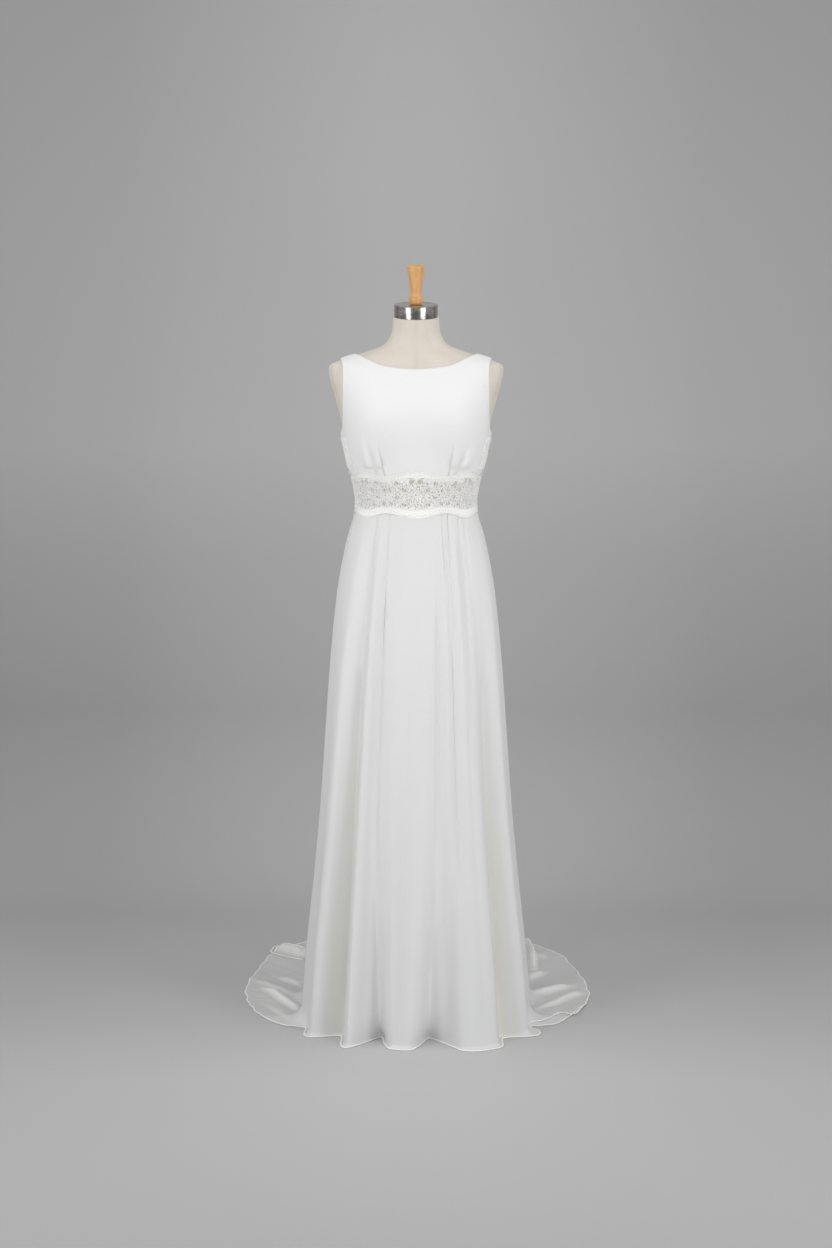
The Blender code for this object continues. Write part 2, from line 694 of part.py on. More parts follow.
def hanging_point(fold, height):
    """Point of the hanging skirt on a fold line."""
    drop = max(0.0, 1 - height / PLEATS_RELEASED)
    bearing = blend(fold["band"], fold["foot"], drop**DRIFT_POWER)
    foot_relief = fold["foot_reach"] - section_reach(fold["foot"], 0.0)
    relief = Table("height relief", (
        (0.0, foot_relief),
        (MIDDLE_RELIEF_HEIGHT, fold["middle"]),
        (HIGH_RELIEF_HEIGHT, fold["high"]),
        (PLEATS_RELEASED, 0.0),
    )).at(height)["relief"]
    return at_bearing(bearing, section_reach(bearing, height) + relief, height)


def skirt_column(line, floor_steps):
    """Points of the skirt's inner face on one fold line, from the hem up to the band."""
    fold = FOLDS.at(line)
    edge = at_bearing(fold["edge"], fold["edge_reach"], 0.0)
    foot = at_bearing(fold["foot"], fold["foot_reach"], 0.0)
    curve = FOOT_CURVE_SHARE * min((edge - foot).length, FOOT_CURVE_RUN)
    column = [hanging_point(fold, level) for level in HANG_LEVELS]
    start = hanging_point(fold, curve)
    away = Vector((edge.x - start.x, edge.y - start.y, 0.0)).normalized()
    for turn in FOOT_CURVE_TURNS:
        swing = math.radians(turn)
        point = start + away * curve * (1 - math.cos(swing))
        point.z = curve * (1 - math.sin(swing)) + fold["rise"] * math.sin(swing)
        column.append(point)
    landing = column[-1].copy()
    for share in floor_steps:
        point = landing.lerp(edge, share)
        point.z = fold["rise"] * (1 - share) ** RISE_POWER
        column.append(point)
    return column[::-1]


def fold_lines(first, last):
    """Places of the columns: on every fold line, and one to three between neighbours."""
    lines = []
    for line in range(first, last):
        width = FOLDS.at(line + 1)["foot"] - FOLDS.at(line)["foot"]
        at_back = not LEFT_SEAM_LINE <= line < RIGHT_SEAM_LINE
        parts = 4 if at_back and width >= WIDE_BACK_FOLD else 3 if width > WIDE_FOLD else 2
        lines += [line + i / parts for i in range(parts)]
    return lines + [last]


def make_skirt_panel(name, first, last, floor_steps, collection, material):
    grid = [skirt_column(line, floor_steps) for line in fold_lines(first, last)]
    return panel_object(name, part_seams(grid), collection, material)


# Neck cap, handle and stand

def neck_frame():
    """Place and lean of the top of the neck."""
    top = FORM.at(FORM.keys[-1])
    place = Matrix.Translation((0.0, -top["forward"], top["height"]))
    return place @ Matrix.Rotation(math.radians(top["lean"]), 4, "X")


def make_neck_cap(collection, material):
    outline = (
        (CAP_HEIGHT, 0.0), (CAP_HEIGHT, CAP_RADIUS - CAP_EDGE),
        (CAP_HEIGHT - CAP_EDGE * CAP_EDGE_SHARE, CAP_RADIUS - CAP_EDGE * CAP_EDGE_SHARE),
        (CAP_HEIGHT - CAP_EDGE, CAP_RADIUS), (CAP_EDGE, CAP_RADIUS),
        (0.0, CAP_RADIUS - CAP_EDGE), (0.0, 0.0),
    )
    part = add_turned("neck_cap", outline, collection, material, steps=WIDE_TURN_STEPS)
    part.matrix_world = neck_frame() @ Matrix.Translation((0.0, 0.0, METAL_GAP))
    return part


def make_neck_handle(collection, material):
    part = add_turned("neck_handle", HANDLE_OUTLINE, collection, material)
    seat = CAP_HEIGHT + 2 * METAL_GAP
    part.matrix_world = neck_frame() @ Matrix.Translation((0.0, 0.0, seat))
    return part


def make_stand_pole(collection, material):
    top = FORM.keys[0] - METAL_GAP
    flange = top - POLE_FLANGE_HEIGHT
    foot = BASE_HUB_HEIGHT + METAL_GAP
    outline = (
        (top, 0.0), (top, POLE_FLANGE_RADIUS), (flange, POLE_FLANGE_RADIUS),
        (flange, POLE_RADIUS), (foot, POLE_RADIUS), (foot, 0.0),
    )
    return add_turned("stand_pole", outline, collection, material)


def make_stand_base(collection, material):
    outline = (
        (BASE_HUB_HEIGHT, 0.0), (BASE_HUB_HEIGHT, BASE_HUB_TOP_RADIUS),
        (BASE_HUB_SHOULDER, BASE_HUB_RADIUS), (BASE_CROWN_HEIGHT, BASE_HUB_FOOT_RADIUS),
        (BASE_RIM_HEIGHT, BASE_RADIUS * BASE_RIM_SHARE), (BASE_EDGE_HEIGHT, BASE_RADIUS),
        (0.0, BASE_RADIUS), (0.0, 0.0),
    )
    return add_turned("stand_base", outline, collection, material, steps=WIDE_TURN_STEPS)


def main():
    for old in list(bpy.data.objects):
        bpy.data.objects.remove(old, do_unlink=True)
    collection = bpy.data.collections.new(COLLECTION_NAME)
    bpy.context.scene.collection.children.link(collection)

    crepe = make_material("crepe_bodice", (0.88, 0.88, 0.88), 0.62)
    skirt_cloth = make_material("crepe_skirt", (0.84, 0.84, 0.83), 0.66)
    ground = make_material("nude_ground", (0.66, 0.53, 0.40), 0.70)
    lace = make_material("lace_band", (0.86, 0.86, 0.84), 0.55)
    linen = make_material("linen_cover", (0.74, 0.66, 0.57), 0.85)
    steel = make_material("brushed_steel", (0.62, 0.61, 0.60), 0.32, 1.0)
    wood = make_material("turned_wood", (0.66, 0.40, 0.18), 0.45)
    iron = make_material("stand_metal", (0.10, 0.10, 0.10), 0.45, 0.6)

    quarter = REPEATS * CELLS_PER_REPEAT // 4
    half = REPEATS * CELLS_PER_REPEAT // 2
    bands = (("front", (-quarter, quarter)), ("back_left", (-half, -quarter)),
             ("back_right", (quarter, half)))

    make_bodice_front(collection, crepe)
    make_bodice_back("bodice_back_left", -1, collection, crepe)
    make_bodice_back("bodice_back_right", 1, collection, crepe)
    for side, cells in bands:
        make_ground("waist_" + side, cells, collection, ground)
        make_lace("lace_" + side, cells, collection, lace)
    last_line = int(FOLDS.keys[-1])
    make_skirt_panel("skirt_front", LEFT_SEAM_LINE, RIGHT_SEAM_LINE, FRONT_FLOOR_STEPS,
                     collection, skirt_cloth)
    make_skirt_panel("skirt_back_left", 0, LEFT_SEAM_LINE, BACK_FLOOR_STEPS,
                     collection, skirt_cloth)
    make_skirt_panel("skirt_back_right", RIGHT_SEAM_LINE, last_line, BACK_FLOOR_STEPS,
                     collection, skirt_cloth)
    make_form_torso(collection, linen)
    make_neck_cap(collection, steel)
    make_neck_handle(collection, wood)
    make_stand_pole(collection, iron)
    make_stand_base(collection, iron)


main()
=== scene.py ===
"""Looks of the wedding dress on its dress form: fine cloth, lace and beads, train and studio."""

import math
import random

import bmesh
import bpy
import numpy as np
from mathutils import Matrix, Vector


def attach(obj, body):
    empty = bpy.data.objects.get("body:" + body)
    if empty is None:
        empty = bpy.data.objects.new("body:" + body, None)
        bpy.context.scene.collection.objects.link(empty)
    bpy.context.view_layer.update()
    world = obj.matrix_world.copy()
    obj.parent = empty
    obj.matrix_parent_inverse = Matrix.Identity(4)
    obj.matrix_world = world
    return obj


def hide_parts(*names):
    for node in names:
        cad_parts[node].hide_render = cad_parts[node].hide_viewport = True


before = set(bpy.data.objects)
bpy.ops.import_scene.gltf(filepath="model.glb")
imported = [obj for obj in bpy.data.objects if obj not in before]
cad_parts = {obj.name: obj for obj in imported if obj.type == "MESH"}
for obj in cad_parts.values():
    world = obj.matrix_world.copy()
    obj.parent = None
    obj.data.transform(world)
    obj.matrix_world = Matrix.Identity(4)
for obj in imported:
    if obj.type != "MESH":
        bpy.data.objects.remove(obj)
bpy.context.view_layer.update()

# A wall 0.3 mm thinner than that of the solids, and clearances that are theirs
CLOTH_WALL = 0.0012
LACE_LIFT = 0.0023
EASE_BODY = 0.0025
EASE_STRAP = 0.0023
EASE_HEIGHTS = (1.40, 1.48)
SEAM_GAP = 0.0004

# A distance past any in the part, and the upward direction
FAR = 9.0
UP = (0.0, 0.0, 1.0)

# Heights of the seams
GROUND_BOTTOM = 1.148
GROUND_TOP = 1.224
PLEATS_RELEASED = 1.128
UNDERARM = 1.317
STRAP_OUTER = 1.4806
STRAP_INNER = 1.49


# Smooth curves through short tables

def steady_curve(keys, values, at):
    """Cubic through values (their last axis follows keys) that never overshoots."""
    gaps = np.diff(keys)
    rises = np.diff(values, axis=-1) / gaps
    slopes = np.zeros_like(values)
    slopes[..., 0] = rises[..., 0]
    slopes[..., -1] = rises[..., -1]
    before, after = rises[..., :-1], rises[..., 1:]
    near = 2 * gaps[1:] + gaps[:-1]
    far = gaps[1:] + 2 * gaps[:-1]
    same = before * after > 0
    mean = (near + far) / (near / np.where(same, before, 1.0) + far / np.where(same, after, 1.0))
    slopes[..., 1:-1] = np.where(same, mean, 0.0)
    at = np.clip(np.asarray(at, float), keys[0], keys[-1])
    i = np.clip(np.searchsorted(keys, at, side="right") - 1, 0, len(keys) - 2)
    gap = gaps[i]
    t = (at - keys[i]) / gap
    return (
        values[..., i] * (2 * t**3 - 3 * t**2 + 1)
        + gap * slopes[..., i] * (t**3 - 2 * t**2 + t)
        + values[..., i + 1] * (3 * t**2 - 2 * t**3)
        + gap * slopes[..., i + 1] * (t**3 - t**2)
    )


def curve_through(rows, count):
    """Columns of a smooth curve through rows of values, read at evenly spaced steps."""
    order = np.arange(len(rows), dtype=float)
    return steady_curve(order, np.array(rows, float).T.copy(), np.linspace(0, len(rows) - 1, count))


class Table:
    """Rows with named columns, read smoothly along the first. Columns left out are 0."""

    def __init__(self, names, rows):
        self.names = names.split()
        self.rows = np.array([(*row, *[0] * (len(self.names) - len(row))) for row in rows], float)
        self.keys = self.rows[:, 0]

    def at(self, key):
        return dict(zip(self.names, steady_curve(self.keys, self.rows.T, key)))


def ease_in_out(share):
    share = np.clip(share, 0.0, 1.0)
    return share * share * (3 - 2 * share)


def blend(low, high, share):
    return low + (high - low) * share


def bell(distance, width):
    """Smooth bump that is 1 at distance 0."""
    return np.exp(-((distance / width) ** 2))


def unit(vectors):
    return vectors / np.linalg.norm(vectors, axis=-1, keepdims=True)


def running_length(steps):
    return np.concatenate(([0.0], np.cumsum(steps)))


# The dress form: a row per level
FORM = Table("height half_width front back squareness forward lean", (
    (0.79, 0.158, 0.106, 0.114, 2.2),
    (0.86, 0.165, 0.11, 0.121, 2.2),
    (0.95, 0.1655, 0.112, 0.121, 2.2),
    (1.04, 0.1525, 0.106, 0.108, 2.2),
    (1.1, 0.141, 0.1025, 0.098, 2.2),
    (1.138, 0.1345, 0.1, 0.093, 2.2),
    (1.165, 0.1302, 0.098, 0.091, 2.2),
    (1.19, 0.1332, 0.0985, 0.0915, 2.2),
    (1.2185, 0.1392, 0.1015, 0.0935, 2.2),
    (1.2455, 0.1489, 0.1065, 0.0975, 2.25),
    (1.2725, 0.1552, 0.111, 0.102, 2.3),
    (1.3, 0.1598, 0.1145, 0.106, 2.35),
    (1.326, 0.1635, 0.1165, 0.11, 2.4),
    (1.345, 0.1668, 0.117, 0.112, 2.4),
    (1.371, 0.173, 0.1155, 0.113, 2.4),
    (1.398, 0.1808, 0.111, 0.112, 2.4),
    (1.425, 0.1885, 0.103, 0.108, 2.4),
    (1.448, 0.1938, 0.0925, 0.101, 2.35),
    (1.4595, 0.195, 0.0858, 0.0958, 2.3),
    (1.467, 0.1925, 0.0808, 0.0915, 2.22),
    (1.4725, 0.1855, 0.0771, 0.088, 2.18),
    (1.4765, 0.1755, 0.0745, 0.0852, 2.15),
    (1.4815, 0.1645, 0.0712, 0.0815, 2.12),
    (1.486, 0.153, 0.0682, 0.078, 2.1),
    (1.49, 0.1379, 0.0655, 0.0748, 2.08),
    (1.4928, 0.1255, 0.0636, 0.0722, 2.06),
    (1.4969, 0.1134, 0.0609, 0.069, 2.05),
    (1.5029, 0.0956, 0.0576, 0.064, 2),
    (1.5084, 0.0823, 0.0553, 0.0602, 2, 0.0005, 0),
    (1.5151, 0.0695, 0.054, 0.0566, 2, 0.0015, 1),
    (1.529, 0.059, 0.0517, 0.0522, 2, 0.004, 4),
    (1.543, 0.054, 0.0503, 0.0503, 2, 0.0065, 7),
    (1.5745, 0.0503, 0.0497, 0.0497, 2, 0.0122, 10),
))
BUST_APART = 0.088
BUST_HEIGHT = 1.35
BUST_RISE = 0.03
BUST_SPREAD = 0.052
BUST_SPREAD_UP = 0.06
BUST_FULL_FACING = 0.55
NORMAL_TURN = 0.6
NORMAL_STEP = 0.0015


def bust_rise(across, height, facing):
    """Forward swell of the bust at points of the front."""
    level = np.exp(-(((height - BUST_HEIGHT) / BUST_SPREAD_UP) ** 2) / 2)
    sides = sum(np.exp(-(((across - side * BUST_APART) / BUST_SPREAD) ** 2) / 2) for side in (-1, 1))
    return BUST_RISE * level * sides * ease_in_out(facing / BUST_FULL_FACING)


def form_point(angle, height):
    """Points of the dress form at angles in degrees and levels."""
    angle, height = np.broadcast_arrays(np.asarray(angle, float), np.asarray(height, float))
    section = FORM.at(height)
    turn = np.radians(angle)
    sine, cosine = np.sin(turn), np.cos(turn)
    power = 2 / section["squareness"]
    depth = np.where(cosine > 0, section["front"], section["back"])
    across = section["half_width"] * np.sign(sine) * np.abs(sine) ** power
    along = -depth * np.sign(cosine) * np.abs(cosine) ** power
    along = along - bust_rise(across, height, cosine)
    lean = np.radians(section["lean"])
    return np.stack([
        across, along * np.cos(lean) - section["forward"], height + along * np.sin(lean),
    ], axis=-1)


OUTLINE_HEIGHTS = np.linspace(FORM.keys[0], FORM.keys[-1], 1200)
OUTLINE_LENGTHS = running_length(
    np.hypot(np.diff(OUTLINE_HEIGHTS), np.diff(FORM.at(OUTLINE_HEIGHTS)["half_width"])),
)


def form_normal(angle, height):
    length = np.interp(height, OUTLINE_HEIGHTS, OUTLINE_LENGTHS)
    above = np.interp(length + NORMAL_STEP, OUTLINE_LENGTHS, OUTLINE_HEIGHTS)
    below = np.interp(length - NORMAL_STEP, OUTLINE_LENGTHS, OUTLINE_HEIGHTS)
    around = form_point(angle + NORMAL_TURN, height) - form_point(angle - NORMAL_TURN, height)
    return unit(np.cross(around, form_point(angle, above) - form_point(angle, below)))


def cloth_point(angle, height, lift=0.0):
    """Points of the cloth's inner face over the form, lifted further by a relief."""
    angle, height = np.broadcast_arrays(np.asarray(angle, float), np.asarray(height, float))
    low, high = EASE_HEIGHTS
    ease = blend(EASE_BODY, EASE_STRAP, ease_in_out((height - low) / (high - low)))
    return form_point(angle, height) + form_normal(angle, height) * np.asarray(ease + lift)[..., None]


# Node materials

WHITE, BLACK = (1.0, 1.0, 1.0), (0.0, 0.0, 0.0)


class Look:
    """A material, with short names for the nodes that it is made of."""

    def __init__(self, name, **sockets):
        self.material = bpy.data.materials.new(name)
        self.material.use_nodes = True
        self.nodes = self.material.node_tree.nodes
        self.shader = self.nodes["Principled BSDF"]
        for socket, value in sockets.items():
            self.feed(self.shader, socket.replace("_", " "), value)

    def feed(self, node, socket, value):
        """Set an input, or wire another node's output to it."""
        if isinstance(value, bpy.types.NodeSocket):
            self.material.node_tree.links.new(value, node.inputs[socket])
        else:
            node.inputs[socket].default_value = value

    def node(self, kind, output, inputs=None, **settings):
        node = self.nodes.new("ShaderNode" + kind)
        for name, value in settings.items():
            setattr(node, name, value)
        for socket, value in (inputs or {}).items():
            self.feed(node, socket, value)
        return node.outputs[output]

    def place(self, attribute=None, scale=(1, 1, 1)):
        """Vector in metres, of the piece or of its own attribute, stretched by a scale."""
        if attribute:
            source = self.node("Attribute", "Vector", attribute_name=attribute)
        else:
            source = self.node("TexCoord", "Object")
        return self.node("Mapping", "Vector", {"Vector": source, "Scale": scale})

    def share(self, attribute):
        return self.node("Attribute", "Fac", attribute_name=attribute)

    def noise(self, vector, scale, detail=2.0, rough=0.5):
        inputs = {"Vector": vector, "Scale": scale, "Detail": detail, "Roughness": rough}
        return self.node("TexNoise", "Fac", inputs)

    def calc(self, operation, first, second=0.0):
        return self.node("Math", "Value", {0: first, 1: second}, operation=operation)

    def mixed(self, first, second, share=0.5):
        """Two values blended: the share is that of the second."""
        first = self.calc("MULTIPLY", first, 1 - share)
        return self.calc("ADD", first, self.calc("MULTIPLY", second, share))

    def axes(self, vector):
        """The vector's own numbers along X, Y and Z."""
        return self.node("SeparateXYZ", "X", {"Vector": vector}).node.outputs[:]

    def weave(self, vector, threads):
        """Height of a plain weave, from a vector along and across the threads."""
        waves = []
        for place in self.axes(vector)[:2]:
            phase = self.calc("MULTIPLY", place, threads * math.pi)
            waves.append(self.calc("ABSOLUTE", self.calc("SINE", phase)))
        return self.calc("MAXIMUM", *waves)

    def ramp(self, value, *stops):
        """Colour that runs through stops, each a position and a colour."""
        color = self.node("ValToRGB", "Color", {"Fac": value})
        elements = color.node.color_ramp.elements
        elements[0].position, elements[1].position = stops[0][0], stops[-1][0]
        for position, _ in stops[1:-1]:
            elements.new(position)
        for element, (_, tone) in zip(elements, stops):
            element.color = (*tone, 1)
        return color

    def tinted(self, share, color, tint):
        """Colour that turns to a tint where a share says so."""
        return self.node("MixRGB", "Color", {"Fac": share, "Color1": color, "Color2": (*tint, 1)})

    def done(self, color, height, strength, distance=0.0003):
        """The material, with its colour and the height of its fine relief."""
        self.feed(self.shader, "Base Color", color)
        inputs = {"Height": height, "Strength": strength, "Distance": distance}
        self.feed(self.shader, "Normal", self.node("Bump", "Normal", inputs))
        return self.material


def crepe_material(name, light, dark, painted_tints, sheer=False):
    """Soft crepe of pebbled threads, painted with light and shade: it turns to each tint where its own
    share says so.
    """
    look = Look(name, Roughness=0.72, Specular_IOR_Level=0.25, Sheen_Weight=0.12, Sheen_Roughness=0.45)
    pebbles = look.noise(look.place("cloth"), 1500, 2.0, 0.6)
    tone = look.mixed(pebbles, look.noise(look.place("cloth", (30, 700, 1)), 1), 0.4)
    color = look.ramp(tone, (0.35, dark), (0.65, light))
    for attribute, tint in painted_tints:
        color = look.tinted(look.share(attribute), color, tint)
    if sheer:
        threads = look.calc("MULTIPLY", look.calc("SUBTRACT", pebbles, 0.5), 0.20)
        look.feed(look.shader, "Alpha", look.calc("ADD", look.share("cover"), threads))
    return look.done(color, tone, 0.22)


def net_material(name, light, dark, white=None):
    """Fine net, worked solid white in small patches and where its own share says so."""
    look = Look(name, Roughness=0.7)
    cloth = look.place("cloth")
    weave = look.weave(cloth, 900)
    color = look.ramp(look.mixed(weave, look.noise(cloth, 160)), (0.3, dark), (0.8, light))
    if white:
        patches = look.ramp(look.noise(cloth, 260, 2.0, 0.7), (0.41, BLACK), (0.46, WHITE))
        color = look.tinted(look.calc("MAXIMUM", patches, look.share("white")), color, white)
    return look.done(color, weave, 0.4)


def thread_material(name, color, roughness, sheen=0.15, scale=1200):
    """Corded thread or pearl: a fine twist in the surface."""
    look = Look(name, Roughness=roughness, Sheen_Weight=sheen)
    grain = look.noise(look.place(), scale)
    low = tuple(channel * 0.88 for channel in color)
    return look.done(look.ramp(grain, (0.35, low), (0.62, color)), grain, 0.3)


def linen_material():
    """Plain woven linen, with painted shade along its sunk seams."""
    look = Look("linen_cover", Roughness=0.88, Sheen_Weight=0.1)
    cloth = look.place("cloth")
    slubs = [look.noise(look.place("cloth", scale), 1, 3.0) for scale in ((260, 1600, 1), (1600, 220, 1))]
    threads = look.mixed(*slubs)
    tone = look.mixed(threads, look.noise(cloth, 18, 3.0), 0.25)
    color = look.ramp(tone, (0.35, (0.66, 0.60, 0.525)), (0.66, (0.79, 0.73, 0.65)))
    # Painted shade in the sunk seams and stitched lines
    color = look.tinted(look.share("seam"), color, (0.50, 0.44, 0.36))
    return look.done(color, look.calc("ADD", look.weave(cloth, 1250), threads), 0.5)


def steel_material():
    look = Look("brushed_steel", Metallic=1.0, Roughness=0.2)
    brush = look.noise(look.place(scale=(30, 30, 2200)), 1, 3.0)
    tone = look.mixed(brush, look.noise(look.place(), 230, 4.0, 0.8), 0.65)
    color = look.ramp(tone, (0.40, (0.34, 0.32, 0.30)), (0.60, (0.82, 0.80, 0.765)))
    return look.done(color, brush, 0.15, 0.0001)


def wood_material():
    look = Look("turned_wood", Roughness=0.32, Coat_Weight=0.6, Coat_Roughness=0.14)
    grain = look.noise(look.place(scale=(520, 520, 16)), 1, 3.0, 0.6)
    rings = look.noise(look.place(scale=(110, 110, 7)), 1)
    pores = look.noise(look.place(scale=(1700, 1700, 90)), 1, 2.0)
    color = look.ramp(
        look.mixed(grain, rings, 0.55),
        (0.30, (0.64, 0.315, 0.105)), (0.50, (0.75, 0.405, 0.155)), (0.70, (0.82, 0.475, 0.205)),
    )
    flecks = look.calc("MULTIPLY", look.ramp(pores, (0.60, BLACK), (0.72, WHITE)), 0.35)
    return look.done(look.tinted(flecks, color, (0.46, 0.22, 0.08)), grain, 0.2, 0.0002)


def iron_material():
    look = Look("stand_metal", Roughness=0.42)
    grain = look.noise(look.place(), 700, 3.0)
    color = look.ramp(grain, (0.35, (0.018, 0.018, 0.019)), (0.65, (0.035, 0.035, 0.037)))
    return look.done(color, grain, 0.3)


# Grey of the studio's paper, painted with light and shade: height on the wall and grey there, how much
# lighter a painted pool of light makes it behind the dress, and the grey ahead of it
STUDIO_PAINTED_GREYS = ((0.0, 0.45), (0.08, 0.43), (0.45, 0.36), (1.25, 0.485), (2.30, 0.445), (3.0, 0.43))
STUDIO_SHADE_TOP = 3.0
STUDIO_PAINTED_POOL = 0.15
STUDIO_AHEAD = 0.37


def studio_material():
    """Matt paper whose grey runs through stops of height that paint light and shade on it, lighter behind
    the dress in a painted pool of light, darker ahead.

    Its back doesn't show, so that the dress can be looked at from behind the wall.
    """
    look = Look("studio_grey", Roughness=0.9, Specular_IOR_Level=0.1)
    x, y, z = look.axes(look.place())
    painted_pool = look.ramp(look.calc("ABSOLUTE", x), (0.10, WHITE), (0.90, BLACK))
    painted_greys = [(level / STUDIO_SHADE_TOP, (grey, grey, grey)) for level, grey in STUDIO_PAINTED_GREYS]
    color = look.ramp(look.calc("MULTIPLY", z, 1 / STUDIO_SHADE_TOP), *painted_greys)
    color = look.tinted(look.calc("MULTIPLY", painted_pool, STUDIO_PAINTED_POOL), color, WHITE)
    near = look.ramp(look.calc("MULTIPLY", y, -0.5), (0.25, BLACK), (1.0, WHITE))
    color = look.tinted(near, color, (STUDIO_AHEAD, STUDIO_AHEAD, STUDIO_AHEAD))
    behind = look.node("NewGeometry", "Backfacing")
    look.feed(look.shader, "Alpha", look.calc("SUBTRACT", 1, behind))
    return look.done(color, look.noise(look.place(), 120, 3.0), 0.1, 0.001)


# Meshes from grids of points

def add_object(name, mesh, material):
    mesh.shade_smooth()
    mesh.materials.append(material)
    piece = bpy.data.objects.new(name, mesh)
    bpy.context.scene.collection.objects.link(piece)
    return piece


def add_mesh(name, verts, faces, material):
    mesh = bpy.data.meshes.new(name)
    mesh.from_pydata(verts.tolist(), [], faces)
    return add_object(name, mesh, material)


def change_mesh(mesh, change):
    bm = bmesh.new()
    bm.from_mesh(mesh)
    change(bm)
    bm.to_mesh(mesh)
    bm.free()


def drop_loose_points(bm):
    bmesh.ops.delete(bm, geom=[vert for vert in bm.verts if not vert.link_faces], context="VERTS")


def close_ends(bm):
    bmesh.ops.holes_fill(bm, edges=[edge for edge in bm.edges if edge.is_boundary])


def lengths_along(grid, axis):
    """Distance in metres along one axis of a grid, at its middle."""
    steps = np.linalg.norm(np.diff(grid, axis=axis), axis=-1)
    return running_length(np.take(steps, steps.shape[1 - axis] // 2, axis=1 - axis))


def grid_object(name, grid, material, thickness=0.0, closed=False, shares=None, keep=None):
    """Smooth sheet through a grid of points (columns, rows), facing out to the right of up.

    The sheet's own metres are kept as "cloth", and each named share of a point under its name.
    """
    columns, rows = grid.shape[:2]
    index = np.arange(columns * rows).reshape(columns, rows)
    if closed:
        index = np.vstack([index, index[:1]])
    faces = np.stack([index[:-1, :-1], index[1:, :-1], index[1:, 1:], index[:-1, 1:]], axis=-1)
    faces = faces[keep] if keep is not None else faces.reshape(-1, 4)
    piece = add_mesh(name, grid.reshape(-1, 3), faces.tolist(), material)
    place = np.zeros((columns, rows, 3))
    place[..., 0] = lengths_along(grid, 0)[:, None]
    place[..., 1] = lengths_along(grid, 1)[None, :]
    for share, values in {"cloth": place, **(shares or {})}.items():
        kind, field = ("FLOAT_VECTOR", "vector") if share == "cloth" else ("FLOAT", "value")
        attribute = piece.data.attributes.new(share, kind, "POINT")
        attribute.data.foreach_set(field, np.ascontiguousarray(values, np.float32).ravel())
    if keep is not None:
        change_mesh(piece.data, drop_loose_points)
    if thickness:
        wall = piece.modifiers.new("wall", "SOLIDIFY")
        wall.thickness = thickness
        wall.offset = 1.0
        wall.use_even_offset = False
    return piece


def sized_dome(size, sides=6, rings=2):
    """Half an ellipsoid on its flat side: points, and faces that close it underneath."""
    rise = np.arange(rings) * math.pi / 2 / rings
    turn = np.arange(sides) * math.tau / sides
    points = [
        np.outer(np.cos(rise), np.cos(turn)), np.outer(np.cos(rise), np.sin(turn)),
        np.outer(np.sin(rise), np.ones(sides)),
    ]
    points = np.vstack([np.stack(points, axis=-1).reshape(-1, 3), [[0, 0, 1]]])
    faces = [tuple(range(sides))[::-1]]
    for ring in range(rings):
        for k in range(sides):
            low, after = ring * sides + k, ring * sides + (k + 1) % sides
            top = (rings * sides,) if ring == rings - 1 else (after + sides, low + sides)
            faces.append((low, after, *top))
    return points * np.array(size), faces


class Heap:
    """Many small closed shapes gathered into one mesh."""

    def __init__(self):
        self.verts = []
        self.faces = []
        self.count = 0

    def add(self, verts, faces):
        self.verts.append(np.asarray(verts, float))
        self.faces += [tuple(k + self.count for k in face) for face in faces]
        self.count += len(verts)

    def tube(self, path, normals, radius, height=None, sides=6, closed=False):
        """Round or flattened cord along a path, lying on a surface with these normals."""
        height = radius if height is None else height
        if closed:
            ahead = np.roll(path, -1, axis=0) - np.roll(path, 1, axis=0)
        else:
            ahead = np.gradient(path, axis=0)
        ahead = unit(ahead)
        side = unit(np.cross(normals, ahead))
        out = np.cross(ahead, side)
        turns = np.arange(sides) * math.tau / sides
        rings = (
            path[:, None]
            + side[:, None] * (radius * np.cos(turns))[None, :, None]
            + out[:, None] * (height * np.sin(turns))[None, :, None]
        )
        count = len(path)
        faces = []
        for i in range(count if closed else count - 1):
            near, far = i * sides, (i + 1) % count * sides
            for k in range(sides):
                after = (k + 1) % sides
                faces.append((near + k, near + after, far + after, far + k))
        if not closed:
            faces.append(tuple(range(sides))[::-1])
            faces.append(tuple((count - 1) * sides + k for k in range(sides)))
        self.add(rings.reshape(-1, 3), faces)

    def stamp(self, shape, points, axes):
        """Copies of one small shape, each at its own point and on its own axes."""
        verts, faces = shape
        for point, own in zip(points, axes):
            self.add(point + verts @ own, faces)

    def piece(self, name, material):
        return add_mesh(name, np.concatenate(self.verts), self.faces, material)


SHARP_FROM = 50


def turned_object(name, outline, material, place, steps):
    """Closed turned body from heights and radii, listed from the top down."""
    bm = bmesh.new()
    rings = []
    for height, radius in outline:
        turns = [math.tau * k / steps for k in range(steps if radius else 1)]
        rings.append([bm.verts.new((radius * math.cos(t), radius * math.sin(t), height)) for t in turns])
    for upper, lower in zip(rings, rings[1:]):
        for k in range(steps):
            after = (k + 1) % steps
            turns = ((upper, k), (lower, k), (lower, after), (upper, after))
            bm.faces.new(dict.fromkeys(ring[j % len(ring)] for ring, j in turns))
    bm.transform(place)
    mesh = bpy.data.meshes.new(name)
    bm.to_mesh(mesh)
    bm.free()
    piece = add_object(name, mesh, material)
    mesh.set_sharp_from_angle(angle=math.radians(SHARP_FROM))
    return piece


# Studio. The camera has a real height and distance from the pole, and the photograph's focal length

CAMERA_HEIGHT = 1.40
CAMERA_DISTANCE = 5.20
CAMERA_TILT = 3.0
PICTURE_HEIGHT_PX = 1248
FOCAL_PX = 2332.0
AXIS_ABOVE_MIDDLE_PX = 106.0
SENSOR_MM = 36.0
FLOOR_FRONT = -7.0
FLOOR_BACK = 1.05
COVE_RADIUS = 0.9
COVE_STEPS = 12
WALL_TOP = 5.0
STUDIO_HALF_WIDTH = 6.0
AIR_GREY = 0.32

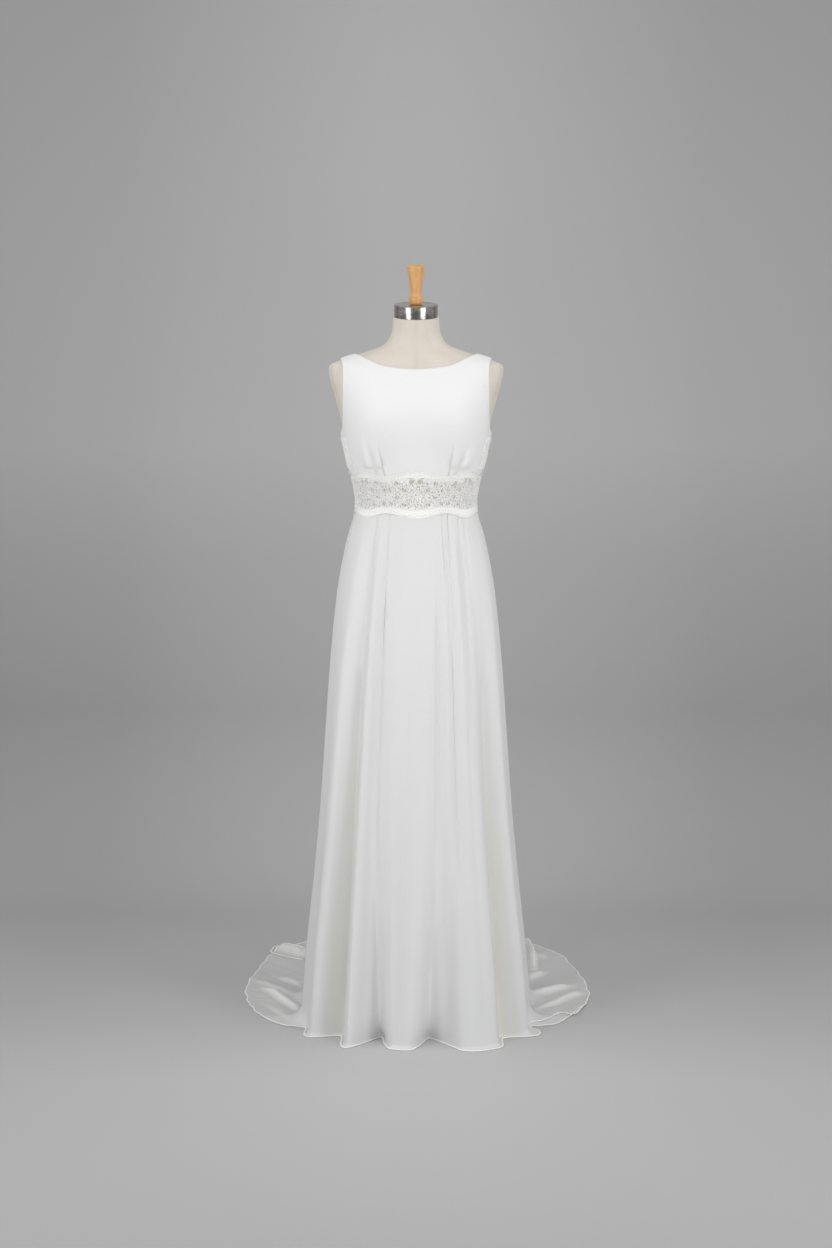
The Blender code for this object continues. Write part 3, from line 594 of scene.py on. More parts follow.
# Soft lights: bearing from the front, distance and middle height, width, height, power, the
# height that the light looks at, and whether the steel mirrors it
LIGHTS = (
    ("softbox_left", -41, 2.4, 1.42, 0.91, 2.1, 16.8, 1.25, True),
    ("softbox_right", 38, 2.4, 1.42, 0.91, 2.1, 16.8, 1.25, True),
    ("side_left", -78, 2.6, 1.15, 1.4, 2.2, 12.8, 0.95, False),
    ("side_right", 78, 2.6, 1.2, 1.4, 2.2, 14.6, 1, False),
    ("top_light", 0, 0.55, 3.6, 2.4, 2.2, 25, 0.6, False),
    ("front_fill", 0, 2.7, 0.95, 1.4, 0.4, 10.5, 1.2, False),
    ("back_left", -140, 2.9, 2.3, 1.4, 1.8, 10, 0.9, True),
    ("back_right", 140, 2.9, 2.3, 1.4, 1.8, 10, 0.9, True),
)


def make_camera():
    camera = bpy.data.objects.new("camera", bpy.data.cameras.new("camera"))
    bpy.context.scene.collection.objects.link(camera)
    camera.location = (0.0, -CAMERA_DISTANCE, CAMERA_HEIGHT)
    camera.rotation_euler = (math.radians(90.0 - CAMERA_TILT), 0.0, 0.0)
    camera.data.sensor_width = SENSOR_MM
    camera.data.lens = SENSOR_MM * FOCAL_PX / PICTURE_HEIGHT_PX
    camera.data.shift_y = -AXIS_ABOVE_MIDDLE_PX / PICTURE_HEIGHT_PX
    bpy.context.scene.camera = camera


def make_studio():
    """Floor that curves up into a plain wall, in one sheet."""
    profile = [(FLOOR_FRONT, 0.0), (FLOOR_BACK, 0.0)]
    for k in range(1, COVE_STEPS + 1):
        turn = math.pi / 2 * k / COVE_STEPS
        profile.append((FLOOR_BACK + COVE_RADIUS * math.sin(turn), COVE_RADIUS * (1 - math.cos(turn))))
    profile.append((FLOOR_BACK + COVE_RADIUS, WALL_TOP))
    grid = np.array([[(x, y, z) for y, z in profile] for x in (-STUDIO_HALF_WIDTH, STUDIO_HALF_WIDTH)])
    grid_object("studio_floor", grid, studio_material())


def make_lights():
    for name, bearing, distance, height, width, length, power, aim, mirrored in LIGHTS:
        light = bpy.data.lights.new(name, "AREA")
        light.shape = "RECTANGLE"
        light.size, light.size_y = width, length
        light.energy = power
        lamp = bpy.data.objects.new(name, light)
        bpy.context.scene.collection.objects.link(lamp)
        lamp.visible_glossy = mirrored
        turn = math.radians(bearing)
        lamp.location = (distance * math.sin(turn), -distance * math.cos(turn), height)
        away = lamp.location - Vector((0.0, 0.0, aim))
        lamp.rotation_euler = away.to_track_quat("Z", "Y").to_euler()
    world = bpy.data.worlds.new("studio_air")
    bpy.context.scene.world = world
    world.use_nodes = True
    background = world.node_tree.nodes["Background"]
    background.inputs["Color"].default_value = (AIR_GREY, AIR_GREY, AIR_GREY, 1)
    bpy.context.scene.view_settings.view_transform = "Standard"


# Bodice

# Rows of level and distance from the centre line, which is the form's own side where it is None
FORM_SIDE = None
NECKLINE_FRONT = (
    (STRAP_INNER, FORM_SIDE), (1.4865, 0.126), (1.4805, 0.113), (1.4735, 0.099),
    (1.4632, 0.0735), (1.4585, 0.0443), (1.4564, 0.02), (1.4558, 0),
)
NECKLINE_BACK = (
    (STRAP_INNER, FORM_SIDE), (1.4868, 0.126), (1.4808, 0.113), (1.4725, 0.097),
    (1.463, 0.072), (1.4565, 0.044), (1.4535, 0.02), (1.4525, 0),
)
ARMHOLE_FRONT = (
    (UNDERARM, FORM_SIDE), (1.333, 0.159), (1.36, 0.1575), (1.4, 0.1572),
    (1.44, 0.1575), (1.46, 0.159), (1.473, 0.162), (STRAP_OUTER, FORM_SIDE),
)
ARMHOLE_BACK = (
    (UNDERARM, FORM_SIDE), (1.333, 0.16), (1.36, 0.16), (1.4, 0.1605),
    (1.44, 0.161), (1.46, 0.162), (1.473, 0.164), (STRAP_OUTER, FORM_SIDE),
)
WAIST_SEAM = GROUND_TOP + SEAM_GAP
SIDE_SHARE = 0.36
STRAP_SHARE = 0.10
UNDERARM_FLARE = 0.0030
FLARE_ANGLE = 16.0
FLARE_REACH = 0.035

# Tucks under the bust: distance from the centre line at two levels, height of the fold, widths
# of its soft and its sharp flank, and how dark the painted shade at its creased edge is. The sharp flank
# faces the centre.
TUCKS = (
    (-0.0962, 1.24, -0.118, 1.3103, 0.0068, 0.014, 0.006, 0.38),
    (-0.0742, 1.24, -0.0865, 1.2927, 0.0068, 0.0115, 0.0025, 0.95),
    (0.0768, 1.24, 0.0868, 1.295, 0.0058, 0.0105, 0.0029, 0.72),
    (0.0978, 1.24, 0.12, 1.2884, 0.0068, 0.013, 0.0058, 0.5),
)
TUCK_FOOT = (1.2385, 1.2520)

# Start and run of the fading of a tuck and of the painted shade at its creased edge, as shares of its
# length; depth and place of the dip beside it; place and width of that painted shade, in widths of
# the sharp flank
TUCK_FADE = (0.15, 1.1)
TUCK_CREASE_SHADE_FADE = (0.35, 0.75)
TUCK_DIP = (0.35, 2.2)
TUCK_CREASE_SHADE = (1.5, 0.75)

# Columns stand closer where the tucks are: shares across the front, and how close between them
BODICE_COLUMNS = 187
COLUMN_SHARES = (0.0, 0.20, 0.37, 0.63, 0.80, 1.0)
COLUMN_CLOSENESS = (1.0, 2.4, 1.0, 2.4, 1.0)
BACK_COLUMNS = 75
BODICE_ROWS = 100
ARMHOLE_ROWS = slice(round(SIDE_SHARE * (BODICE_ROWS - 1)), None)

# Stitched lines: distance from their edge, depth and width, and how dark the painted shade in a full one is
LINE_DEPTH = 0.00035
LINE_WIDTH = 0.0012
LINE_SHADE = 0.14
NECK_FACING = (0.017, LINE_DEPTH * 0.8, LINE_WIDTH)
ARMHOLE_FACING = (0.013, LINE_DEPTH * 0.7, LINE_WIDTH)
SHOULDER_LINE = (0.016, LINE_DEPTH * 1.8, LINE_WIDTH * 1.2)
CENTRE_LINE = (0.009, LINE_DEPTH, LINE_WIDTH)
EDGE_RADIUS = 0.0010


def angle_over(across, height):
    """Angle on the form, from its own centre line, that lies over this point of the cut."""
    section = FORM.at(height)
    share = np.clip(np.abs(across) / section["half_width"], 0.0, 1.0)
    return np.degrees(np.arcsin(share ** (section["squareness"] / 2)))


def cut_reader(rows):
    """Curve through rows of level and distance from the centre, read by its share of length."""
    rows = [(FORM.at(level)["half_width"] if across is None else across, level) for level, across in rows]
    path = curve_through(rows, 400)
    points = form_point(angle_over(*path), path[1])
    steps = np.linalg.norm(np.diff(points, axis=0), axis=1)
    lengths = running_length(steps) / steps.sum()
    return lambda share: np.array([np.interp(share, lengths, row) for row in path])


def bodice_cut(neckline_rows, armhole_rows, across, up):
    """Distance from the centre line and level of points inside half a panel's cut."""
    neckline, armhole = cut_reader(neckline_rows), cut_reader(armhole_rows)
    waist_half = FORM.at(WAIST_SEAM)["half_width"]
    neck_low = neckline_rows[-1][0]

    def bottom(share):
        return np.array([waist_half * np.cos(np.radians(90.0 * share)), share * 0 + WAIST_SEAM])

    def side(share):
        level = blend(WAIST_SEAM, UNDERARM, np.clip(share / SIDE_SHARE, 0, 1))
        low = np.array([FORM.at(level)["half_width"], level])
        return np.where(share < SIDE_SHARE, low, armhole((share - SIDE_SHARE) / (1 - SIDE_SHARE)))

    def top(share):
        strap = 2 * STRAP_SHARE
        level = blend(STRAP_OUTER, STRAP_INNER, np.clip(share / strap, 0, 1))
        over = np.array([FORM.at(level)["half_width"], level])
        return np.where(share < strap, over, neckline((share - strap) / (1 - strap)))

    def centre(share):
        low = blend(WAIST_SEAM, UNDERARM, share / SIDE_SHARE)
        high = blend(UNDERARM, neck_low, (share - SIDE_SHARE) / (1 - SIDE_SHARE))
        return np.array([share * 0, np.where(share < SIDE_SHARE, low, high)])

    zero, one = across * 0, across * 0 + 1
    corners = (
        (1 - across) * (1 - up) * bottom(zero) + across * (1 - up) * bottom(one)
        + (1 - across) * up * top(zero) + across * up * top(one)
    )
    return (
        (1 - up) * bottom(across) + up * top(across)
        + (1 - across) * side(up) + across * centre(up) - corners
    )


def tuck_relief(across, height):
    """Height of the soft folds that fan up from the waist seam, and the share of painted shade in their
    creases.
    """
    relief, crease_shade = np.zeros_like(height), np.zeros_like(height)
    foot = ease_in_out((height - TUCK_FOOT[0]) / (TUCK_FOOT[1] - TUCK_FOOT[0]))
    for low_x, low_z, high_x, high_z, rise, soft, sharp, dark in TUCKS:
        length = high_z - low_z
        line = blend(low_x, high_x, (height - low_z) / length)
        inward = (across - line) * -math.copysign(1, low_x)
        width = np.where(inward > 0, sharp, soft)
        fade, crease_shade_fade = (
            1 - ease_in_out((height - low_z - length * start) / (length * run))
            for start, run in (TUCK_FADE, TUCK_CREASE_SHADE_FADE)
        )
        dip = TUCK_DIP[0] * bell(inward - sharp * TUCK_DIP[1], sharp)
        relief += rise * fade * foot * (bell(inward, width) - dip)
        crease_shade += dark * crease_shade_fade * bell(inward - sharp * TUCK_CREASE_SHADE[0], sharp * TUCK_CREASE_SHADE[1])
    return relief, crease_shade


def flare_relief(angle, height):
    """Slight stand-off of the cloth at the underarm corner."""
    sideways = np.clip(1 - np.abs(np.abs(angle) - 90.0) / FLARE_ANGLE, 0, None)
    return UNDERARM_FLARE * sideways * np.clip(1 - np.abs(height - UNDERARM) / FLARE_REACH, 0, None)


def front_shares():
    sizes = running_length(np.diff(COLUMN_SHARES) * COLUMN_CLOSENESS)
    return np.interp(np.linspace(0, sizes[-1], BODICE_COLUMNS), sizes, COLUMN_SHARES)


def bodice_grid(neckline_rows, armhole_rows, shares, back_sign=None):
    """Points of a bodice panel and the share of painted shade in its tuck creases.

    The shares run across the front, or from the side to the centre at the back.
    """
    up = np.linspace(0, 1, BODICE_ROWS)[None, :] + shares[:, None] * 0
    if back_sign:
        across, sign = shares[:, None] + up * 0, back_sign + up * 0
    else:
        across = 1 - np.abs(shares[:, None] - 0.5) * 2 + up * 0
        sign = np.where(shares[:, None] < 0.5, -1.0, 1.0) + up * 0
    over, height = bodice_cut(neckline_rows, armhole_rows, across, up)
    angle = angle_over(over, height)
    lift, crease_shade = flare_relief(angle, height), height * 0
    if not back_sign:
        relief, crease_shade = tuck_relief(over * sign, height)
        lift = lift + relief
    return cloth_point(sign * (180.0 - angle if back_sign else angle), height, lift), crease_shade


def distance_to(grid, edge):
    """Distance of every point of a grid to the nearest point of an edge."""
    flat = grid.reshape(-1, 3)
    nearest = np.full(len(flat), FAR)
    for point in edge[::2]:
        nearest = np.minimum(nearest, np.linalg.norm(flat - point, axis=1))
    return nearest.reshape(grid.shape[:2])


def grid_normals(grid):
    normal = np.cross(np.gradient(grid, axis=0), np.gradient(grid, axis=1))
    return normal / np.maximum(np.linalg.norm(normal, axis=-1, keepdims=True), 1e-9)


def part_seams(grid):
    """Draw the first and last columns in, so that neighbours keep the seam gap."""
    for edge, inner in ((0, 1), (-1, -2)):
        grid[edge] = grid[edge] + unit(grid[inner] - grid[edge]) * SEAM_GAP / 2
    return grid


def sewn_panel(name, grid, crease_shade, neckline, armholes, lines, cloth, edging):
    """Bodice panel with stitched lines sunk along its edges, painted shade in them and in the tuck creases,
    and fine rolled edges.

    An edge is a column index and a row index. Each line is an edge, and its measures.
    """
    facings = [(neckline, NECK_FACING), *((armhole, ARMHOLE_FACING) for armhole in armholes)]
    relief = sum(
        depth * bell(distance_to(grid, grid[edge]) - at, width)
        for edge, (at, depth, width) in (*facings, *lines)
    )
    # Painted shade in the tuck creases, and in the stitched lines as deep as they sink
    seam = {"seam": np.clip(crease_shade + relief / LINE_DEPTH * LINE_SHADE, 0, 1)}
    grid = part_seams(grid - grid_normals(grid) * relief[..., None])
    heap = Heap()
    normals = grid_normals(grid)
    for edge in (neckline, *armholes):
        heap.tube(grid[edge] + normals[edge] * CLOTH_WALL / 2, normals[edge], EDGE_RADIUS, sides=8)
    edges = heap.piece("bodice_edges_" + name, edging)
    return grid_object("crepe_bodice_" + name, grid, cloth, CLOTH_WALL, shares=seam), edges


def make_bodice_front(cloth, edging):
    shares = front_shares()
    grid, crease_shade = bodice_grid(NECKLINE_FRONT, ARMHOLE_FRONT, shares)
    strap = int(np.argmin(np.abs(shares - STRAP_SHARE)))
    neckline = (slice(strap, BODICE_COLUMNS - strap), -1)
    armholes = ((0, ARMHOLE_ROWS), (-1, ARMHOLE_ROWS))
    shoulders = (((slice(strap + 1), -1), SHOULDER_LINE), ((slice(-strap - 1, None), -1), SHOULDER_LINE))
    return sewn_panel("front", grid, crease_shade, neckline, armholes, shoulders, cloth, edging)


def make_bodice_back(side, sign, cloth, edging):
    """Back half: its shares run from the side to the centre, and turn over for the left."""
    grid, crease_shade = bodice_grid(NECKLINE_BACK, ARMHOLE_BACK, np.linspace(0, 1, BACK_COLUMNS)[::sign], sign)
    strap = round(2 * STRAP_SHARE * (BACK_COLUMNS - 1))
    outer, centre = (0, -1) if sign > 0 else (-1, 0)
    neckline = (slice(strap, None) if sign > 0 else slice(BACK_COLUMNS - strap), -1)
    lines = [((centre, slice(None)), CENTRE_LINE)]
    return sewn_panel(
        "back_" + side, grid, crease_shade, neckline, [(outer, ARMHOLE_ROWS)], lines, cloth, edging,
    )


# Skirt and train

def cloth_section(height):
    """Half width, front, back and squareness of the cloth that lies on the form."""
    section = FORM.at(height)
    return (*(section[name] + EASE_BODY for name in ("half_width", "front", "back")), section["squareness"])


# The skirt's plain section at levels, and its fold lines: bearings in degrees at the band, the
# foot and the edge, distances of the foot and the edge from the pole, relief high up and in the
# middle, and how high the cloth on the floor rises towards the foot
SKIRT = Table("height half_width front back squareness", (
    (0, 0.2541, 0.275, 0.365, 2.5),
    (0.19, 0.2408, 0.25, 0.33, 2.45),
    (0.33, 0.2268, 0.23, 0.295, 2.4),
    (0.49, 0.2131, 0.2075, 0.255, 2.35),
    (0.65, 0.202, 0.186, 0.218, 2.3),
    (0.76, 0.1945, 0.171, 0.192, 2.3),
    (0.87, 0.1854, 0.155, 0.165, 2.25),
    (0.975, 0.1735, 0.137, 0.137, 2.2),
    (1.05, 0.16, 0.122, 0.118, 2.2),
    (1.1, 0.148, 0.111, 0.105, 2.2),
    (PLEATS_RELEASED, *cloth_section(PLEATS_RELEASED)),
))
FOLDS = Table("line band foot foot_reach edge edge_reach high middle rise", (
    (0, -180, -180, 0.376, -180, 0.822, 0.001, 0.006, 0.008),
    (1, -166, -165, 0.33, -166, 0.8, -0.008, -0.026),
    (2, -151, -150, 0.364, -151, 0.712, 0.002, 0.007, 0.012),
    (3, -136, -135, 0.276, -138, 0.574, -0.008, -0.025),
    (4, -121, -120, 0.3, -123, 0.478, 0.001, 0.006, 0.01),
    (5, -105, -104, 0.236, -106, 0.4, -0.004, -0.016),
    (6, -90, -90, 0.258, -90, 0.347, 0, 0),
    (7, -74, -76, 0.255, -76, 0.305, -0.002, -0.007),
    (7.5, -66, -67, 0.256, -68, 0.264, -0.001, -0.002),
    (8, -58, -56, 0.279, -56, 0.292, 0.001, 0.005),
    (9, -45, -45, 0.22, -45, 0.233, -0.007, -0.026),
    (10, -38, -31, 0.285, -31, 0.299, 0.001, 0.004),
    (11, -31.5, -23.5, 0.178, -23.5, 0.191, -0.007, -0.02),
    (12, -14, -11, 0.259, -11, 0.273, 0.001, 0.002),
    (13, 9, -3.5, 0.263, -3.5, 0.277, 0.001, 0.002),
    (14, 24, 8.5, 0.172, 8.5, 0.184, -0.003, -0.015),
    (15, 29.5, 16.2, 0.227, 16.2, 0.24, 0.001, 0),
    (16, 35, 20.5, 0.286, 20.5, 0.3, -0.006, -0.005),
    (17, 41.5, 27, 0.299, 27, 0.313, 0.001, 0.003),
    (18, 49, 35, 0.3, 35, 0.314, -0.006, 0.001),
    (19, 64, 46.5, 0.25, 46.5, 0.264, -0.002, -0.021),
    (20, 74, 58, 0.288, 60, 0.31, 0.001, 0.004),
    (20.5, 78, 65, 0.268, 65.5, 0.298, 0, 0),
    (21, 82, 72, 0.256, 70.5, 0.266, -0.001, -0.006),
    (21.5, 86, 80, 0.255, 77, 0.313, -0.001, -0.004),
    (22, 90, 90, 0.258, 90, 0.347, 0, 0),
    (23, 105, 104, 0.235, 106, 0.409, -0.004, -0.017),
    (24, 121, 120, 0.303, 123, 0.482, 0.001, 0.006, 0.011),
    (25, 136, 135, 0.279, 138, 0.578, -0.008, -0.026),
    (26, 151, 150, 0.366, 151, 0.706, 0.002, 0.007, 0.012),
    (27, 166, 165, 0.329, 166, 0.796, -0.008, -0.027),
    (28, 180, 180, 0.376, 180, 0.822, 0.001, 0.006, 0.008),
))
LEFT_SEAM_LINE = 6
RIGHT_SEAM_LINE = 22

# Each panel: first and last fold line, columns to a line, and rows on the floor
PANELS = {
    "front": (LEFT_SEAM_LINE, RIGHT_SEAM_LINE, 16, 10),
    "back_left": (0, LEFT_SEAM_LINE, 22, 62),
    "back_right": (RIGHT_SEAM_LINE, 28, 22, 62),
}
FOOT_CURVE_SHARE = 0.6
FOOT_CURVE_RUN = 0.06
TRAIN_FROM = 0.05
TRAIN_RUN = 0.08
RELIEF_RUN = 0.04
BEND_FLAT_SHARE = 0.9
CURVE_ROWS = 7
DRIFT_POWER = 0.6
HIGH_RELIEF_HEIGHT = 1.02
MIDDLE_RELIEF_HEIGHT = 0.55
RISE_POWER = 0.6
HANG_TOP = 1.1476
HANG_ROWS = 84

# Cover of the cloth: full where it hangs in two layers, thin where it lies on the floor
HANGING_COVER = 1.15
TRAIN_COVER = 0.74
FOLDED_COVER = 0.35
THIN_FROM = 0.016
THIN_RUN = 0.085
# Painted shade that darkens the hanging cloth towards the floor: its strength at the floor, and the level
# where it ends
LOW_SHADE = 0.5
LOW_SHADE_TOP = 0.95

# Finer creases of the skirt: line, depth, half width in lines, and the levels between which
# it runs. A minus depth is a ridge. CREASE_END is where its upper end fades, and over what run
FINE_CREASES = (
    (9, 0.0024, 0.11, 0.88, 1.15),
    (11, 0.0024, 0.1, 0.8, 1.15),
    (12, -0.0008, 0.22, 0.9, 1.145),
    (15.15, 0.002, 0.12, 0.93, 1.15),
    (15.75, -0.0009, 0.15, 0.92, 1.145),
    (16.35, 0.0024, 0.11, 0.78, 1.15),
    (18, 0.0024, 0.11, 0.8, 1.15),
    (18.47, 0.002, 0.08, 0.96, 1.15),
    (9, 0.006, 0.2, 0.02, 0.8),
    (19, 0.006, 0.2, 0.02, 0.78),
    (11, 0.003, 0.14, 0.35, 0.95),
    (14, 0.003, 0.14, 0.35, 0.95),
    (16, 0.0026, 0.16, 0.3, 0.85),
    (7.25, 0.0012, 0.045, 0.03, 1.14),
    (20.75, 0.0012, 0.045, 0.03, 1.14),
    (8.4, 0.0014, 0.16, 0.1, 0.9),
    (10.4, -0.0012, 0.14, 0.05, 0.8),
    (12.5, 0.0014, 0.2, 0, 0.75),
    (13.4, -0.0012, 0.15, 0, 0.6),
    (17.4, 0.0014, 0.2, 0, 0.7),
    (20.4, 0.0014, 0.16, 0.05, 0.85),
    (1, 0.0024, 0.12, 0.55, 1.15),
    (3, 0.0024, 0.12, 0.6, 1.15),
    (5, 0.0022, 0.12, 0.65, 1.15),
    (23, 0.0022, 0.12, 0.6, 1.15),
    (25, 0.0024, 0.12, 0.65, 1.15),
    (27, 0.0024, 0.12, 0.55, 1.15),
    (0.55, -0.0012, 0.15, 0.1, 0.8),
    (2.45, 0.0014, 0.16, 0.2, 0.95),
    (4.4, -0.0012, 0.14, 0.05, 0.7),
    (23.6, 0.0014, 0.15, 0.1, 0.8),
    (25.6, -0.0012, 0.16, 0.15, 0.9),
    (27.5, 0.0014, 0.14, 0.05, 0.75),
)
CREASE_START = 0.12
CREASE_START_SHARE = 0.45
CREASE_END = (0.02, 0.03)

# Middle valleys of the front, which are softer than the solid's: line, height of the filling,
# half width in lines, and top. The painted light that brightens them is a plain share, how much more at
# the floor, and the level where that begins
VALLEY_FILLS = ((11.0, 0.0165, 0.66, 0.75), (14.0, 0.0165, 0.85, 0.75))
FILL_START = (-0.05, 0.12)
FILL_FADE_FROM = 0.10
FILL_PAINTED_LIGHT = (0.5, 0.35, 0.2)

# Painted warm shade in valleys of the front: line, half width in lines, top and strength
PAINTED_VALLEY_SHADES = ((9.0, 0.42, 0.80, 0.75), (19.0, 0.42, 0.80, 1.0))
VALLEY_FADE_FROM = 0.08

# Folds of the train on the floor: points along the top of each, height, and the width of the
# flank that faces the front and of the one that faces away
TRAIN_FOLDS = (
    (((-0.36, 0.225), (-0.309, 0.118), (-0.264, 0.039)), 0.013, 0.005, 0.017),
    (((-0.33, 0.34), (-0.267, 0.255)), 0.008, 0.007, 0.024),
    (((-0.352, 0.118), (-0.283, -0.029), (-0.24, -0.079)), 0.0045, 0.008, 0.018),
    (((-0.36, 0.625), (-0.275, 0.516)), 0.02, 0.008, 0.05),
    (((-0.395, 0.33), (-0.33, 0.215), (-0.29, 0.15)), 0.006, 0.007, 0.02),
    (((0.268, 0.315), (0.31, 0.385)), 0.01, 0.007, 0.024),
    (((0.268, 0.14), (0.312, 0.172), (0.37, 0.245)), 0.012, 0.006, 0.026),
    (((0.266, 0.039), (0.319, 0.092), (0.368, 0.163), (0.394, 0.19)), 0.009, 0.005, 0.02),
    (((0.268, 0.7), (0.284, 0.62), (0.29, 0.52), (0.284, 0.39)), 0.026, 0.016, 0.008),
    (((0.278, 0.468), (0.322, 0.55)), 0.009, 0.01, 0.024),
    (((-0.09, 0.45), (-0.13, 0.64), (-0.15, 0.76)), 0.009, 0.012, 0.03),
    (((0.06, 0.44), (0.085, 0.62), (0.12, 0.77)), 0.009, 0.024, 0.01),
    (((0.18, 0.4), (0.24, 0.56), (0.27, 0.65)), 0.008, 0.02, 0.012),
    (((-0.2, 0.39), (-0.25, 0.5), (-0.28, 0.6)), 0.007, 0.012, 0.024),
)
FOLD_END_SHARE = 0.30
FOLD_END_HEIGHT = 0.25
FOLDED_AT = 0.012
# Painted shade at the foot of each fold's sharp flank: distance out in widths of that flank, width, and the
# fold height that paints it in full
CREASE_AWAY = 2.0
CREASE_WIDTH = 0.005
CREASE_FULL_HEIGHT = 0.020

# Ripples of the cloth on the floor: phase that a fold line, a metre across and a metre deep add
# in radians, and shift
RIPPLE_HEIGHT = 0.0005
RIPPLES = ((23.0, 0.0, 9.0, 0.0), (37.0, -14.0, 0.0, 1.0))

# Waves of the train's edge: phase that a fold line adds in radians, shift and share
HEM_WAVE = 0.0018
HEM_WAVES = ((9.1, 0.7, 1.0), (15.7, 2.0, 0.6))
HEM_WAVE_MIDDLE = 0.4

# Edges of the upper layers: one lies over the train at the right, and stands up by a step. The
# others are where the train's border turns over
UPPER_HEM = (
    (0.25, -0.062), (0.272, -0.058), (0.299, -0.029), (0.328, 0.017), (0.357, 0.007), (0.381, 0.068),
)
UPPER_HEMS = {
    "front": {},
    "back_left": {
        "turned_near": ((-0.366, 0.600), (-0.345, 0.566), (-0.316, 0.526), (-0.280, 0.488)),
        "turned_far": ((-0.366, 0.600), (-0.352, 0.618), (-0.325, 0.602), (-0.282, 0.560)),
    },
    "back_right": {
        "upper_right": UPPER_HEM,
        "turned_right": ((0.268, 0.690), (0.284, 0.620), (0.291, 0.520), (0.286, 0.400)),
    },
}
UPPER_HEM_STEP = 0.0026
UPPER_HEM_EDGE = 0.003
UPPER_HEM_FLAT = 0.02
UPPER_HEM_REACH = 0.10
UPPER_HEM_END = 0.12
UPPER_HEM_POINTS = 70
HEM_RADIUS = 0.0016
HEM_WIDE = 1.3
HEM_FLAT = 0.8
HEM_NEAREST = 4
FLOOR_GAP = 0.0002


def section_reach(bearing, height):
    """Distance from the pole to the skirt's plain section, on bearings."""
    skirt = SKIRT.at(height)
    half_width, front, back, power = (
        np.where(height > PLEATS_RELEASED, on_form, skirt[name])
        for name, on_form in zip(SKIRT.names[1:], cloth_section(height))
    )
    turn = np.radians(bearing)
    across = np.abs(np.sin(turn)) / half_width
    along = np.abs(np.cos(turn)) / np.where(np.cos(turn) > 0, front, back)
    return (across**power + along**power) ** (-1 / power)


def at_bearing(bearing, reach, height):
    turn = np.radians(bearing)
    return np.stack(np.broadcast_arrays(reach * np.sin(turn), -reach * np.cos(turn), height), axis=-1)


def hanging_points(fold, heights):
    """Points of the hanging skirt, columns by rows of levels."""
    drop = np.clip(1 - heights / PLEATS_RELEASED, 0, None) ** DRIFT_POWER
    bearing = blend(fold["band"][:, None], fold["foot"][:, None], drop)
    foot_relief = fold["foot_reach"] - section_reach(fold["foot"], 0.0)
    keys = np.array([0.0, MIDDLE_RELIEF_HEIGHT, HIGH_RELIEF_HEIGHT, PLEATS_RELEASED])
    values = np.stack([foot_relief, fold["middle"], fold["high"], fold["high"] * 0], axis=-1)
    relief = np.array([steady_curve(keys, row, level) for row, level in zip(values, heights)])
    return at_bearing(bearing, section_reach(bearing, heights) + relief, heights)


def filled_share(lines, heights, full=(1.0, 1.0)):
    """How far the middle valleys are filled, as a share or up to a full height for each."""
    filled = np.zeros(heights.shape)
    for (line, _, width, top), height in zip(VALLEY_FILLS, full):
        up = ease_in_out((heights - FILL_START[0]) / FILL_START[1])
        fade = 1 - ease_in_out((heights - FILL_FADE_FROM) / (top - FILL_FADE_FROM))
        filled += height * bell(lines - line, width) * (up * fade)
    return filled


def crease_relief(lines, heights):
    """Depth of the finer creases at fold lines (a column) and levels."""
    relief = np.zeros(heights.shape)
    for line, depth, width, low, high in FINE_CREASES:
        start = ease_in_out((heights - low) / min(CREASE_START_SHARE * (high - low), CREASE_START))
        end = 1 - ease_in_out((heights - high + CREASE_END[0]) / CREASE_END[1])
        relief -= depth * bell(lines - line, width) * start * end
    return relief + filled_share(lines, heights, [fill[1] for fill in VALLEY_FILLS])


def valley_shade_share(lines, heights):
    """How much painted warm shade points of the front get in its valleys."""
    share = np.zeros(heights.shape)
    for line, width, top, strength in PAINTED_VALLEY_SHADES:
        fade = 1 - ease_in_out((heights - VALLEY_FADE_FROM) / (top - VALLEY_FADE_FROM))
        share += strength * bell(lines - line, width) * fade
    return np.clip(share, 0, 1)


def beside_path(points, path):
    """Distance of floor points to a path, the side that they lie on, and their share along it."""
    nearest = np.full(points.shape[:-1], FAR)
    side, along = np.zeros(nearest.shape), np.zeros(nearest.shape)
    for k, (start, end) in enumerate(zip(path, path[1:])):
        start, run = np.array(start), np.subtract(end, start)
        share = np.clip((points - start) @ run / (run @ run), 0, 1)
        away = points - start - share[..., None] * run
        distance = np.linalg.norm(away, axis=-1)
        closer = distance < nearest
        nearest = np.where(closer, distance, nearest)
        side = np.where(closer, run[0] * away[..., 1] - run[1] * away[..., 0], side)
        along = np.where(closer, (k + share) / (len(path) - 1), along)
    return nearest, side, along


